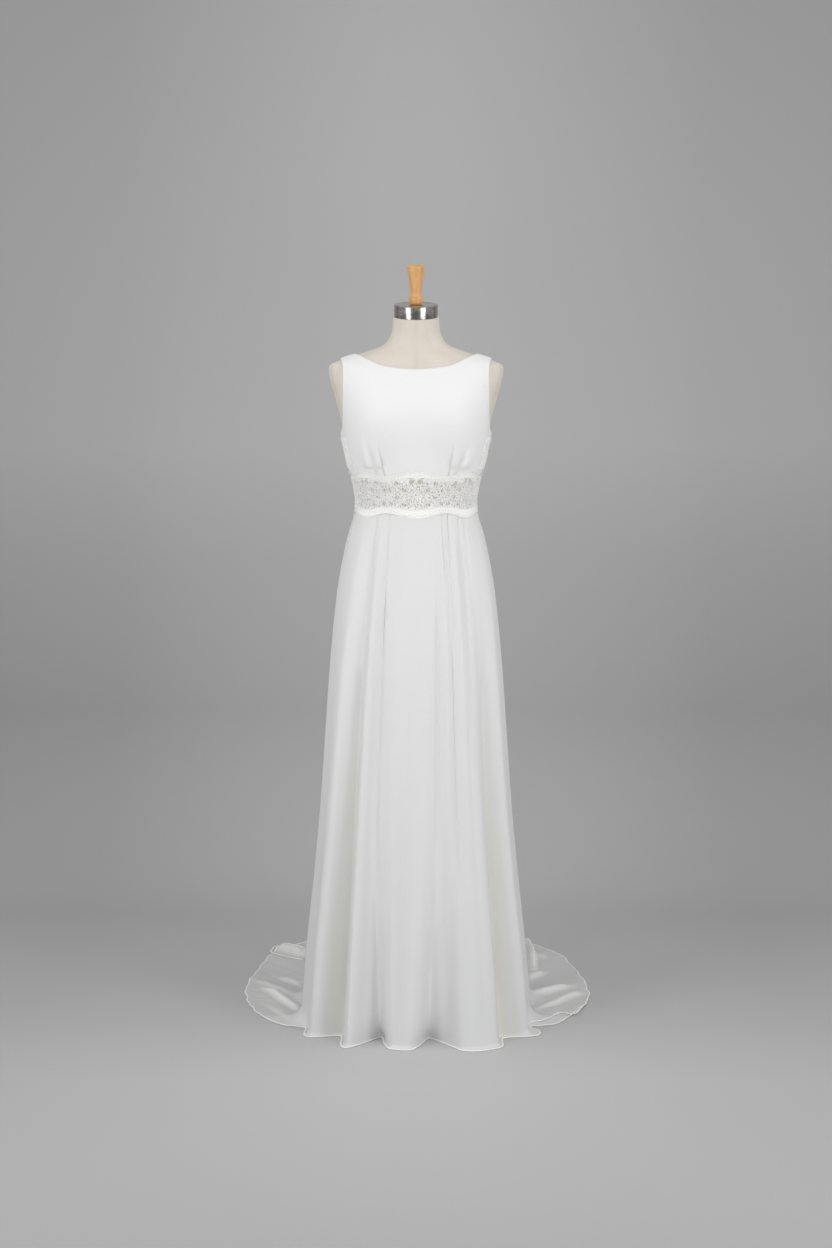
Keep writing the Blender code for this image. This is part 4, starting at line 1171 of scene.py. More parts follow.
def train_relief(points, lines):
    """Height of the cloth's folds and ripples on the floor, the share of its folds, and that of painted
    shade at their feet.
    """
    floor = points[..., :2]
    relief, fold_foot_shade = np.zeros(floor.shape[:-1]), np.zeros(floor.shape[:-1])
    for path, height, near_width, far_width in TRAIN_FOLDS:
        distance, side, along = beside_path(floor, path)
        forward = side * np.sign(path[-1][0] - path[0][0]) < 0
        ends = ease_in_out(along / FOLD_END_SHARE) * ease_in_out((1 - along) / FOLD_END_SHARE)
        tall = height * (FOLD_END_HEIGHT + (1 - FOLD_END_HEIGHT) * ends)
        fold = tall * bell(distance, np.where(forward, near_width, far_width))
        relief = np.maximum(relief, fold)
        sharp = np.minimum(near_width, far_width)
        # Painted shade along the foot of the sharp flank
        foot = (forward == (near_width < far_width)) * bell(distance - sharp * CREASE_AWAY, CREASE_WIDTH)
        fold_foot_shade = np.maximum(fold_foot_shade, foot * ends * height / CREASE_FULL_HEIGHT)
    folded = np.clip(relief / FOLDED_AT, 0, 1)
    distance, side, _ = beside_path(floor, UPPER_HEM)
    inside = ease_in_out(0.5 + np.sign(side) * distance / UPPER_HEM_EDGE)
    near = (1 - ease_in_out((distance - UPPER_HEM_FLAT) / UPPER_HEM_REACH)) * (distance < UPPER_HEM_END)
    relief += UPPER_HEM_STEP * inside * near
    ripples = sum(
        np.sin(lines * fine + across * floor[..., 0] + deep * floor[..., 1] + shift)
        for fine, across, deep, shift in RIPPLES
    )
    return relief + RIPPLE_HEIGHT * (1 + 0.5 * ripples), folded, fold_foot_shade


def hem_wave(lines):
    """Small uneven waves of the train's edge."""
    waves = sum(share * np.sin(lines * fine + shift) for fine, shift, share in HEM_WAVES)
    return HEM_WAVE * (waves - HEM_WAVE_MIDDLE)


def panel_points(lines, floor_rows):
    """Grid of a skirt panel from the hem up, the share of its folds, and that of painted shade at their
    feet.
    """
    fold = FOLDS.at(lines)
    foot = at_bearing(fold["foot"], fold["foot_reach"], 0.0)
    edge = at_bearing(fold["edge"], fold["edge_reach"], 0.0)
    lying_run = np.linalg.norm(edge - foot, axis=1)
    train_share = ease_in_out((lying_run - TRAIN_FROM) / TRAIN_RUN)
    edge = at_bearing(fold["edge"], fold["edge_reach"] + hem_wave(lines) * train_share, 0.0)
    curve = (FOOT_CURVE_SHARE * np.minimum(lying_run, FOOT_CURVE_RUN))[:, None]
    rise = fold["rise"][:, None]
    start = hanging_points(fold, curve)[:, 0]
    away = unit(edge[:, :2] - start[:, :2])
    swing = np.radians(np.linspace(90, 0, CURVE_ROWS))
    bend = np.zeros((len(lines), CURVE_ROWS, 3))
    bend[..., :2] = start[:, None, :2] + away[:, None] * (curve * (1 - np.cos(swing)))[..., None]
    bend[..., 2] = curve * (1 - np.sin(swing)) + rise * np.sin(swing)
    share = np.linspace(1, 0, floor_rows + 1)[:-1]
    lying = blend(bend[:, :1], edge[:, None], share[None, :, None])
    lying[..., 2] = rise * (1 - share) ** RISE_POWER
    low = np.concatenate([lying, bend], axis=1)
    flat_share = np.concatenate([np.ones(floor_rows), BEND_FLAT_SHARE * np.sin(swing) ** 2])
    relief, folded, fold_foot_shade = train_relief(low, lines[:, None])
    low[..., 2] += relief * flat_share * ease_in_out(lying_run / RELIEF_RUN)[:, None]
    heights = curve + (HANG_TOP - curve) * (1 - np.linspace(1, 0, HANG_ROWS + 1)[1:])
    hanging = hanging_points(fold, heights)
    hanging[..., :2] += unit(hanging[..., :2]) * crease_relief(lines[:, None], heights)[..., None]
    shares = [np.concatenate([share, np.zeros(heights.shape)], axis=1) for share in (folded, fold_foot_shade)]
    return np.concatenate([low, hanging], axis=1), *shares


def make_skirt_panel(side, cloth, hem_cloth):
    """Panel and its hems: the lowest row's, and those of its upper layers."""
    first, last, per_line, floor_rows = PANELS[side]
    lines = np.linspace(first, last, (last - first) * per_line + 1)
    grid, folded, fold_foot_shade = panel_points(lines, floor_rows)
    lines, height = lines[:, None], grid[..., 2]
    plain, low_more, low_top = FILL_PAINTED_LIGHT
    thin = (1 - ease_in_out((height - THIN_FROM) / THIN_RUN)) * (side != "front")
    shares = {
        # Painted shade, darker towards the floor
        "low": LOW_SHADE * np.clip(1 - height / LOW_SHADE_TOP, 0, 1) * (1 - thin),
        # Painted warm shade in the valleys and at the feet of the train's folds
        "painted_valley_shade": np.clip(valley_shade_share(lines, height) + fold_foot_shade, 0, 1),
        # Painted light in the middle valleys
        "painted_glow": filled_share(lines, height) * (plain + low_more * np.clip(1 - height / low_top, 0, 1)),
        "cover": blend(HANGING_COVER, TRAIN_COVER + FOLDED_COVER * folded, thin),
    }
    grid = part_seams(grid)
    panel = grid_object("crepe_skirt_" + side, grid, cloth, CLOTH_WALL, shares=shares)
    ground = grid[:, :floor_rows].reshape(-1, 3)
    hems = [make_hem("hem_" + side, grid[:, 0], hem_cloth)]
    hems += [
        make_hem("hem_" + name, upper_hem_path(corners, ground), hem_cloth)
        for name, corners in UPPER_HEMS[side].items()
    ]
    return panel, hems


def make_hem(name, path, material):
    """Rolled hem along the lowest row of a skirt panel, or along an upper layer's edge."""
    heap = Heap()
    path = path + np.array([0.0, 0.0, HEM_RADIUS * HEM_FLAT + FLOOR_GAP])
    heap.tube(path, UP, HEM_RADIUS * HEM_WIDE, HEM_RADIUS * HEM_FLAT, sides=8)
    return heap.piece(name, material)


def upper_hem_path(corners, ground):
    """Edge of an upper layer, on the step or the fold that it makes in the cloth on the floor."""
    x, y = curve_through(corners, UPPER_HEM_POINTS)
    away = np.hypot(ground[:, 0] - x[:, None], ground[:, 1] - y[:, None])
    nearest = np.argsort(away, axis=1)[:, :HEM_NEAREST]
    weights = 1 / (np.take_along_axis(away, nearest, 1) + 0.0002)
    height = (ground[nearest, 2] * weights).sum(1) / weights.sum(1)
    return np.stack([x, y, height + CLOTH_WALL], axis=-1)


# Waist band: nude ground, open lace net, cords, embroidery and beads

BANDS = {"front": (-90.0, 90.0), "back_left": (-180.0, -90.0), "back_right": (90.0, 180.0)}
METRES_PER_DEGREE = 0.0021
REPEATS = 7
CELLS_PER_REPEAT = 8
CELL_ANGLE = 360.0 / (REPEATS * CELLS_PER_REPEAT)
LACE_FIELD = (1.153, 1.219)
LACE_FIELD_WAVE = 0.0032
FIELD_ROWS = 4
TOP_EDGE = (1.2322, 0.0060)
BOTTOM_EDGE = (1.1365, -0.0058)
GROUND_STEP = 2.0
GROUND_ROWS = 13
NET_COLUMNS = 16
NET_ROWS = 118
NET_SEED = 41
LOW_SINK = 0.0008
LOW_SINK_RUN = 0.004
FIELD_WHITE = 0.35
BORDER_WHITE = 0.55
BORDER_BLEND = 0.002

# Open cells of one lace repeat, left half: column, row, half width and half height as a share
# of the cell, turn in degrees, and shift across and up. The right half mirrors it.
LACE_GAPS = (
    (0, 0, 0.3, 0.32, 10, 0.04, 0.03),
    (0, 2, 0.26, 0.36, -8, -0.03, 0.02),
    (1, 1, 0.34, 0.26, 14, 0.02, 0),
    (1, 3, 0.28, 0.34, -12, 0, -0.02),
    (2, 0, 0.34, 0.24, -10, 0, 0.04),
    (2, 2, 0.32, 0.3, 12, 0.02, -0.02),
    (3, 3, 0.28, 0.32, -14, 0.02, 0),
)
GAP_ROUGHNESS = (0.14, 0.10)
GAP_PHASE = 1.7
HOLE_ROWS = 18
HOLE_SPACING = 0.0038
HOLE_ROW_SHARE = 0.95
HOLES_FROM = LACE_FIELD[0] - 0.004
HOLE_JITTER = 0.0012
HOLE_RADIUS = (0.0008, 0.0015)
HOLE_SQUASH = (0.55, 0.95)
HOLE_LEAN = 0.5
HOLE_REACH = 2.5
HOLE_DRAWN = (0.4, 2.0)
HOLE_CLEAR = 0.0038
HOLE_MARGIN = 0.002
PINHOLES = 224
PINHOLE_RADIUS = 0.0009
PINHOLE_INSET = 0.0058
PINHOLE_ZIGZAG = 0.0012
SLITS_PER_REPEAT = (-0.085, 0.085)
SLIT_HALF = (0.0042, 0.0008)
SLIT_DROP = 0.0022


def wave_of(angle):
    return np.cos(np.radians(REPEATS * angle))


def top_edge(angle):
    return TOP_EDGE[0] + TOP_EDGE[1] * wave_of(angle)


def bottom_edge(angle):
    return BOTTOM_EDGE[0] + BOTTOM_EDGE[1] * wave_of(angle)


def field_low(angle):
    return LACE_FIELD[0] - LACE_FIELD_WAVE * wave_of(angle)


def field_high(angle):
    return LACE_FIELD[1] + LACE_FIELD_WAVE * wave_of(angle)


def sunk(angle, level):
    """How much closer to the form the lace's lower border lies."""
    return LOW_SINK * ease_in_out((field_low(angle) - level) / LOW_SINK_RUN)


def make_ground(side, material):
    low, high = BANDS[side]
    angles = np.linspace(low, high, round((high - low) / GROUND_STEP) + 1)[:, None]
    grid = cloth_point(angles, np.linspace(GROUND_BOTTOM, GROUND_TOP, GROUND_ROWS)[None, :])
    return grid_object("net_waist_" + side, part_seams(grid), material, CLOTH_WALL)


def large_gaps():
    """The gaps that the solid has too: angle, level, half width, half height, turn and phase."""
    gaps = []
    for cell in range(-REPEATS * CELLS_PER_REPEAT // 2, REPEATS * CELLS_PER_REPEAT // 2):
        column = (cell + CELLS_PER_REPEAT // 2) % CELLS_PER_REPEAT
        mirrored = column >= CELLS_PER_REPEAT // 2
        own = CELLS_PER_REPEAT - 1 - column if mirrored else column
        sign = -1 if mirrored else 1
        for gap_column, row, half_width, half_height, turn, over, up in LACE_GAPS:
            if gap_column != own:
                continue
            angle = (cell + 0.5 + over * sign) * CELL_ANGLE
            low, high = field_low(angle), field_high(angle)
            tall = (high - low) / FIELD_ROWS
            gaps.append((
                angle, low + (row + 0.5 + up) * tall, half_width * CELL_ANGLE * METRES_PER_DEGREE,
                half_height * tall, math.radians(turn * sign), len(gaps) * GAP_PHASE,
            ))
    return gaps


def small_holes(rng, gaps):
    """Small holes of the net all round, uneven and clear of the large gaps, and the slits."""
    holes = []
    around = round(360.0 / (HOLE_SPACING / METRES_PER_DEGREE))
    for row in range(HOLE_ROWS):
        for k in range(around):
            angle = -180.0 + (k + 0.5 * (row % 2)) * 360.0 / around
            angle += rng.uniform(-HOLE_JITTER, HOLE_JITTER) / METRES_PER_DEGREE
            level = HOLES_FROM + row * HOLE_SPACING * HOLE_ROW_SHARE
            level += rng.uniform(-HOLE_JITTER, HOLE_JITTER)
            size, squash = rng.uniform(*HOLE_RADIUS), rng.uniform(*HOLE_SQUASH)
            turn = rng.gauss(0, HOLE_LEAN)
            if not field_low(angle) + HOLE_MARGIN < level < field_high(angle) - HOLE_MARGIN:
                continue
            if nearest_gap(angle, level, gaps) > HOLE_CLEAR + size:
                holes.append((angle, level, size * squash, size / squash, turn, rng.uniform(0, 6)))
    for k in range(PINHOLES):
        angle = (k + 0.5) * 360.0 / PINHOLES - 180.0
        for level in (top_edge(angle) - PINHOLE_INSET, bottom_edge(angle) + PINHOLE_INSET):
            level += PINHOLE_ZIGZAG * (-1) ** k
            holes.append((angle, level, PINHOLE_RADIUS, PINHOLE_RADIUS, 0.0, 0.0))
    for repeat in range(REPEATS):
        for share in SLITS_PER_REPEAT:
            angle = (repeat + share) * 360.0 / REPEATS - 180.0 + 180.0 / REPEATS
            slope = -REPEATS * math.pi / 180 * LACE_FIELD_WAVE * math.sin(math.radians(REPEATS * angle))
            level = field_high(angle) - SLIT_DROP
            holes.append((angle, level, *SLIT_HALF, math.atan(slope / METRES_PER_DEGREE), 0.0))
    return holes


def nearest_gap(angle, level, gaps):
    """Distance in metres from a place of the band to the nearest gap's middle."""
    return min(math.hypot((angle - gap[0]) * METRES_PER_DEGREE, level - gap[1]) for gap in gaps)


def place_in_gap(angle, level, gap):
    """Place along and up a gap from its middle, where 1 is its plain outline."""
    middle, height, half_width, half_height, turn, _ = gap
    x, y = (angle - middle) * METRES_PER_DEGREE, level - height
    along = (x * math.cos(turn) + y * math.sin(turn)) / half_width
    return along, (y * math.cos(turn) - x * math.sin(turn)) / half_height


def gap_outline(turned, phase):
    """Reach of an uneven gap, as a share of a plain one, in a direction from its middle."""
    twofold, threefold = GAP_ROUGHNESS
    return 1 + twofold * np.sin(2 * turned + phase) + threefold * np.sin(3 * turned + 2 * phase)


def open_net(angle, height, holes):
    """Faces to keep, and the grid's angles and levels drawn onto the outlines of its holes."""
    depth, owner = np.full(angle.shape, FAR), np.zeros(angle.shape, int)
    for number, hole in enumerate(holes):
        reach = HOLE_REACH * max(hole[2], hole[3])
        columns = np.flatnonzero(np.abs(angle[:, 0] - hole[0]) * METRES_PER_DEGREE < reach)
        if not len(columns):
            continue
        part = slice(columns[0], columns[-1] + 1)
        along, up = place_in_gap(angle[part], height[part], hole)
        own = np.hypot(along, up) / gap_outline(np.arctan2(up, along), hole[5])
        deeper = own < depth[part]
        depth[part][deeper] = own[deeper]
        owner[part][deeper] = number
    keep = (depth[:-1, :-1] + depth[1:, :-1] + depth[1:, 1:] + depth[:-1, 1:]) / 4 > 1.0
    open_corner, kept_corner = np.zeros(angle.shape, bool), np.zeros(angle.shape, bool)
    for i, j in ((0, 0), (1, 0), (1, 1), (0, 1)):
        part = (slice(i, angle.shape[0] - 1 + i), slice(j, angle.shape[1] - 1 + j))
        open_corner[part] |= ~keep
        kept_corner[part] |= keep
    scale = np.where(open_corner & kept_corner, 1 / np.clip(depth, *HOLE_DRAWN), 1.0)
    middles = np.array(holes)[owner]
    angle = middles[..., 0] + (angle - middles[..., 0]) * scale
    height = middles[..., 1] + (height - middles[..., 1]) * scale
    return keep, angle, height


def make_lace_net(side, holes, material):
    """Fine net of the lace, open at its gaps and whiter along its borders."""
    low, high = BANDS[side]
    count = round((high - low) / CELL_ANGLE) * NET_COLUMNS + 1
    share = np.linspace(0, 1, NET_ROWS)[None, :]
    angle = np.linspace(low, high, count)[:, None] + share * 0
    height = blend(bottom_edge(angle), top_edge(angle), share)
    outside = np.maximum(field_low(angle) - height, height - field_high(angle))
    white = blend(FIELD_WHITE, BORDER_WHITE, ease_in_out(0.5 + outside / BORDER_BLEND))
    keep, angle, height = open_net(angle, height, holes)
    grid = cloth_point(angle, height, LACE_LIFT - sunk(angle, height))
    return grid_object("lace_net_" + side, part_seams(grid), material, shares={"white": white}, keep=keep)


# Embroidery and cords

CORD_LIFT = LACE_LIFT + 0.0002
GAP_CORD_CLEAR = 0.0006
GAP_CORD_RADIUS = 0.0007
GAP_BAR_RADIUS = 0.00045
GAP_BARS = (2, 3, 3, 4)
GAP_BAR_LEAN = (0.6, 2.4)
GAP_BAR_BOW = (-0.4, 0.4)
GAP_RING_POINTS = 14
GAP_BAR_POINTS = 7
GAP_CORD_SEED = 7
BORDER_CORD_POINTS = 450

# Cords along the borders: rule of the level, shift, radius
BORDER_CORDS = (
    (top_edge, -0.0009, 0.0010),
    (top_edge, -0.0045, 0.0006),
    (field_high, 0.0004, 0.0010),
    (bottom_edge, 0.0006, 0.0006),
    (bottom_edge, 0.0045, 0.0005),
    (field_low, -0.0004, 0.0009),
)

# Small domes: half length, half width and height
LEAF = (0.0021, 0.0010, 0.0008)
PETAL = (0.0012, 0.0008, 0.0006)
BEAD = (0.0009, 0.0009, 0.0010)
SATIN_LEAF = (0.0023, 0.0009, 0.0008)
PETAL_OUT = (0.0013, 0.0, 0.0004)
PETALS = 5

# Scattered pieces: how many, spacing, clearance of the large gaps and reach past the field
SPRIGS = (1450, 0.0038, 1.22, 0.0)
LEAVES = (950, 0.0044, 1.15, 0.0)
FLOWERS = (70, 0.0150, 1.9, -0.004)
BEADS = (1900, 0.0029, 0.85, 0.0)

# How the scattered pieces vary in size, the kinds of sprig drawn, and where the beads sit
SPRIG_SIZES, LEAF_SIZES, SATIN_SIZES, BEAD_SIZES = (0.8, 1.2), (0.75, 1.25), (0.85, 1.1), (0.8, 1.15)
SPRIG_KINDS = (0, 1, 1, 2, 2, 3)
SPRIG_SEED, LEAF_SEED, BEAD_SEED = 11, 13, 17
BEAD_LIFT = CORD_LIFT + 0.0007
BEAD_INSET = 0.0004
SATIN_JITTER = 0.15
SATIN_INSETS = (0.0055, 0.0034)
SATIN_LEAVES_ROUND = 190
SATIN_LEAN = 0.9
BEADS_ROUND = 126


def angles_round(count):
    return np.arange(0, 360, 360 / count) - 180.0


def make_border_cords(material):
    heap = Heap()
    angles = angles_round(BORDER_CORD_POINTS)
    for rule, shift, radius in BORDER_CORDS:
        levels = rule(angles) + shift
        path = cloth_point(angles, levels, CORD_LIFT + radius * 0.5 - sunk(angles, levels))
        heap.tube(path, form_normal(angles, levels), radius, radius * 0.8, sides=5, closed=True)
    return heap.piece("lace_border_cords", material)


def make_gap_cords(gaps, material):
    """A thin cord round each large gap, and fine curved bars across it."""
    heap = Heap()
    rng = random.Random(GAP_CORD_SEED)
    turns = np.arange(GAP_RING_POINTS) * math.tau / GAP_RING_POINTS
    run = np.linspace(-1.0, 1.0, GAP_BAR_POINTS)

    def add_cord(gap, along, up, lift, **settings):
        middle, level, half_width, half_height, turn, _ = gap
        along, up = along * (half_width + GAP_CORD_CLEAR), up * (half_height + GAP_CORD_CLEAR)
        angles = middle + (along * math.cos(turn) - up * math.sin(turn)) / METRES_PER_DEGREE
        levels = level + along * math.sin(turn) + up * math.cos(turn)
        heap.tube(cloth_point(angles, levels, lift), form_normal(angles, levels), **settings)

    for gap in gaps:
        reach = gap_outline(turns, gap[5])
        ring = np.cos(turns) * reach, np.sin(turns) * reach
        add_cord(gap, *ring, CORD_LIFT + 0.0003, radius=GAP_CORD_RADIUS, sides=5, closed=True)
        for _ in range(rng.choice(GAP_BARS)):
            lean, bow = rng.uniform(*GAP_BAR_LEAN), rng.uniform(*GAP_BAR_BOW)
            side = bow * (1 - run**2)
            bar = run * math.cos(lean) - side * math.sin(lean), run * math.sin(lean) + side * math.cos(lean)
            add_cord(gap, *bar, CORD_LIFT, radius=GAP_BAR_RADIUS, sides=4)
    return heap.piece("lace_gap_cords", material)


def flat_cord(x, y, radius, closed=False):
    """Small cord that lies flat, as points and faces to copy onto the cloth."""
    heap = Heap()
    path = np.stack([x, y, x * 0 + radius * 0.6], axis=-1)
    heap.tube(path, UP, radius, sides=4, closed=closed)
    return heap.verts[0], heap.faces


def embroidery_shapes():
    """Ring, scroll, wave and stem, each a few millimetres long."""
    ring, run = np.arange(9) * math.tau / 9, np.linspace(-1, 1, 9)
    coil = np.linspace(0, 1.35 * math.tau, 12)
    reach = 0.0006 + 0.00020 * coil
    return (
        flat_cord(0.0015 * np.cos(ring), 0.0013 * np.sin(ring), 0.00062, closed=True),
        flat_cord(reach * np.cos(coil), reach * np.sin(coil), 0.00055),
        flat_cord(0.0032 * run, 0.0011 * np.sin(run * 3.0), 0.00062),
        flat_cord(0.0036 * run, 0.0012 * (1 - run**2), 0.00070),
    )


def frames_at(angles, levels, turns, sizes, lift=CORD_LIFT):
    """Points on the cloth, and axes there, turned in its surface and sized."""
    points = cloth_point(angles, levels, lift - sunk(angles, levels))
    normals = form_normal(angles, levels)
    around = unit(np.cross(UP, normals))
    up = np.cross(normals, around)
    turns, sizes = np.asarray(turns)[:, None], np.asarray(sizes)[:, None]
    along = around * np.cos(turns) + up * np.sin(turns)
    across = up * np.cos(turns) - around * np.sin(turns)
    return points, np.stack([along, across, normals], axis=1) * sizes[..., None]


def scatter(rng, count, spacing, clear, reach, gaps):
    """Uneven places on the band's field, apart from each other and clear of the large gaps."""
    places, cells = [], {}
    for _ in range(count * 30):
        angle = rng.uniform(-180.0, 180.0)
        level = rng.uniform(field_low(angle) - reach, field_high(angle) + reach)
        x, z = angle * METRES_PER_DEGREE, level
        own = (int(x // spacing), int(z // spacing))
        near = [p for i in (-1, 0, 1) for j in (-1, 0, 1) for p in cells.get((own[0] + i, own[1] + j), ())]
        if any(math.hypot(x - px, z - pz) < spacing for px, pz in near):
            continue
        close = (gap for gap in gaps if abs(angle - gap[0]) < 5.0)
        if any(math.hypot(*place_in_gap(angle, level, gap)) < clear for gap in close):
            continue
        cells.setdefault(own, []).append((x, z))
        places.append((angle, level))
        if len(places) == count:
            break
    return np.array(places).T


def draws(rng, low, high, angles):
    """One random number for each angle."""
    return np.array([rng.uniform(low, high) for _ in angles])


def make_sprigs(gaps, material):
    """Rings, scrolls, waves and stems of cord over the band's field."""
    rng = random.Random(SPRIG_SEED)
    heap = Heap()
    angles, levels = scatter(rng, *SPRIGS, gaps)
    kinds = np.array([rng.choice(SPRIG_KINDS) for _ in angles])
    turns, sizes = draws(rng, 0, math.tau, angles), draws(rng, *SPRIG_SIZES, angles)
    for kind, shape in enumerate(embroidery_shapes()):
        own = kinds == kind
        heap.stamp(shape, *frames_at(angles[own], levels[own], turns[own], sizes[own]))
    return heap.piece("lace_sprigs", material)


def make_leaves(gaps, material):
    """Small padded leaves over the field, flowers, and slanted satin leaves in the borders."""
    rng = random.Random(LEAF_SEED)
    heap = Heap()
    angles, levels = scatter(rng, *LEAVES, gaps)
    turns, sizes = draws(rng, 0, math.tau, angles), draws(rng, *LEAF_SIZES, angles)
    heap.stamp(sized_dome(LEAF), *frames_at(angles, levels, turns, sizes))
    angles, levels = scatter(rng, *FLOWERS, gaps)
    points, faces = sized_dome(PETAL)
    for k in range(PETALS):
        turn = np.array(Matrix.Rotation(-k * math.tau / PETALS, 3, "Z"))
        petal = (points + np.array(PETAL_OUT)) @ turn
        heap.stamp((petal, faces), *frames_at(angles, levels, angles * 0, angles * 0 + 1))
    angles = angles_round(SATIN_LEAVES_ROUND)
    middle, outer = SATIN_INSETS
    rows = (
        (top_edge(angles) - middle + field_high(angles)) / 2,
        (bottom_edge(angles) + middle + field_low(angles)) / 2,
        top_edge(angles) - outer,
        bottom_edge(angles) + outer,
    )
    for k, levels in enumerate(rows):
        turns = SATIN_LEAN * (-1) ** (k + 1) + draws(rng, -SATIN_JITTER, SATIN_JITTER, angles)
        sizes = draws(rng, *SATIN_SIZES, angles)
        heap.stamp(sized_dome(SATIN_LEAF), *frames_at(angles, levels, turns, sizes))
    return heap.piece("lace_leaves", material)


def make_beads(gaps, material):
    """Small beads sewn over the embroidery and along the inner cords."""
    rng = random.Random(BEAD_SEED)
    heap = Heap()
    angles, levels = scatter(rng, *BEADS, gaps)
    around = angles_round(BEADS_ROUND)
    angles = np.concatenate([angles, around, around])
    levels = np.concatenate([levels, field_high(around) + BEAD_INSET, field_low(around) - BEAD_INSET])
    sizes = draws(rng, *BEAD_SIZES, angles)
    heap.stamp(sized_dome(BEAD), *frames_at(angles, levels, angles * 0, sizes, BEAD_LIFT))
    return heap.piece("lace_beads", material)


# Narrow lace trim down both sides of the bodice: levels, and angles from the front and back

TRIM_LEVELS = (1.24, 1.3085)
TRIM_ANGLES = (64.0, 104.0)
TRIM_ROW = 0.0036
TRIM_STEP = 2.1
TRIM_LIFT = CLOTH_WALL + 0.0003
TRIM_WHITE = 0.60
TRIM_COLUMNS = 15
TRIM_ROWS = 60

# Its embroidery: distance from the front and back edge in degrees, how far each piece strays in
# degrees and metres, sizes, and kinds drawn. Its edge cord: radius, lift and points
TRIM_INSETS = (1.4, 1.0)
TRIM_FIRST_ROW = 0.001
TRIM_ROW_SHIFT = 1.0
TRIM_JITTER = (0.5, 0.0007)
TRIM_SIZES = (0.8, 1.1)
TRIM_SHAPES = (0, 1, 2, 2, 3, 4, 4, 5)
TRIM_CORD = (0.0007, 0.0003, 70)
TRIM_SEED = 19
SCALLOP_DEPTH = 0.7
SCALLOP_HEIGHT = 0.0075


def trim_edge(side, levels):
    """Angle of the trim's scalloped edge, front (1) or back (-1), at levels."""
    edge = TRIM_ANGLES[0] if side > 0 else TRIM_ANGLES[1]
    turns = (levels - TRIM_LEVELS[0]) * math.pi / SCALLOP_HEIGHT
    return edge + side * SCALLOP_DEPTH * np.abs(np.sin(turns))


def make_side_net(side, material):
    """Net under the trim of one side of the bodice."""
    levels = np.linspace(*TRIM_LEVELS, TRIM_ROWS)[None, :]
    share = np.linspace(0, 1, TRIM_COLUMNS)[:, None]
    angles = blend(trim_edge(1, levels), trim_edge(-1, levels), share)
    grid = cloth_point(side * angles, levels, TRIM_LIFT + flare_relief(angles, levels))[::side]
    name = "bodice_side_net_" + ("left" if side < 0 else "right")
    return grid_object(name, grid, material, shares={"white": np.full(grid.shape[:2], TRIM_WHITE)})


def make_side_trim(material):
    """Fine embroidery down both sides of the bodice, from the underarm to the band."""
    rng = random.Random(TRIM_SEED)
    heap = Heap()
    shapes = (*embroidery_shapes(), sized_dome(LEAF), sized_dome(BEAD))
    rows = np.arange(TRIM_LEVELS[0] + TRIM_FIRST_ROW, TRIM_LEVELS[1], TRIM_ROW)
    columns = np.arange(TRIM_ANGLES[0] + TRIM_INSETS[0], TRIM_ANGLES[1] - TRIM_INSETS[1], TRIM_STEP)
    turn, shift = TRIM_JITTER
    radius, cord_lift, cord_points = TRIM_CORD
    for side in (-1, 1):
        for number, level in enumerate(rows):
            for angle in columns:
                angles = np.array([angle + rng.uniform(-turn, turn) + TRIM_ROW_SHIFT * (number % 2)])
                levels = np.array([level + rng.uniform(-shift, shift)])
                lift = TRIM_LIFT + flare_relief(angles, levels)
                turns, sizes = draws(rng, 0, math.tau, angles), draws(rng, *TRIM_SIZES, angles)
                frames = frames_at(side * angles, levels, turns, sizes, lift)
                heap.stamp(shapes[rng.choice(TRIM_SHAPES)], *frames)
        levels = np.linspace(*TRIM_LEVELS, cord_points)
        for edge in (1, -1):
            angles = trim_edge(edge, levels)
            lift = TRIM_LIFT + flare_relief(angles, levels) + cord_lift
            path = cloth_point(side * angles, levels, lift)
            heap.tube(path, form_normal(side * angles, levels), radius, sides=5)
    return heap.piece("bodice_side_lace", material)


# Dress form, cap and handle

CAP_RADIUS = 0.0488
CAP_HEIGHT = 0.0275
METAL_GAP = 0.0003

# Edges of the cap, upper and lower, and the turns in degrees that round them
RIM_EDGE = 0.0012
LOW_EDGE = 0.0006
RIM_TURNS = (0, 22, 45, 68, 90)
CAP_STEPS = 96
HANDLE_POINTS = 130
HANDLE_STEPS = 48
HANDLE_RINGS_OUTSIDE = 0.005
HANDLE_OUTLINE = (
    (0.0885, 0), (0.088, 0.011), (0.0868, 0.0172), (0.0856, 0.0197), (0.083, 0.0203),
    (0.074, 0.0187), (0.058, 0.0161), (0.043, 0.0141), (0.032, 0.0126), (0.024, 0.0117),
    (0.02, 0.0122), (0.0176, 0.0152), (0.016, 0.0163), (0.011, 0.0165), (0.006, 0.0162),
    (0.0028, 0.015), (0.0012, 0.0122), (0, 0.0118), (0, 0),
)
HANDLE_RINGS = (
    (0.08, -0.0008, 0.0007), (0.0186, -0.0008, 0.0006), (0.015, -0.0009, 0.0006),
    (0.01, -0.0007, 0.0006), (0.0052, -0.0006, 0.0005),
)

# Stitched lines of the linen cover: distance from the centre line or from the side's outline,
# depth, half width and darkness of the painted shade in them
CENTRE_SEAM = (0.0, 0.0005, 0.0009, 0.30)
TOPSTITCH = (0.0052, 0.0003, 0.0007, 0.18)
ARM_PLATE_SEAM = (0.0075, 0.0005, 0.0011, 0.30)
ARM_PLATE_LEVEL = (1.33, 1.465)
ARM_PLATE_BLEND = 0.01

# Rows and columns of the cover, which stand closer above the slack part and at the seams
SLACK_BELOW = 1.32
SLACK_ROWS = 16
LINEN_ROWS = 96
LINEN_COLUMNS = ((0, 10, 0.6), (10, 58, 3.0), (58, 90, 1.5), (90, 178, 3.0))
BACK_SEAM_COLUMNS = (178.0, 178.8, 179.4, 180.0)


def neck_frame(rise):
    """Place on the tilted neck, raised along its axis."""
    top = FORM.rows[-1]
    tilt = Matrix.Rotation(math.radians(top[6]), 4, "X")
    return Matrix.Translation((0.0, -top[5], top[0])) @ tilt @ Matrix.Translation((0.0, 0.0, rise))


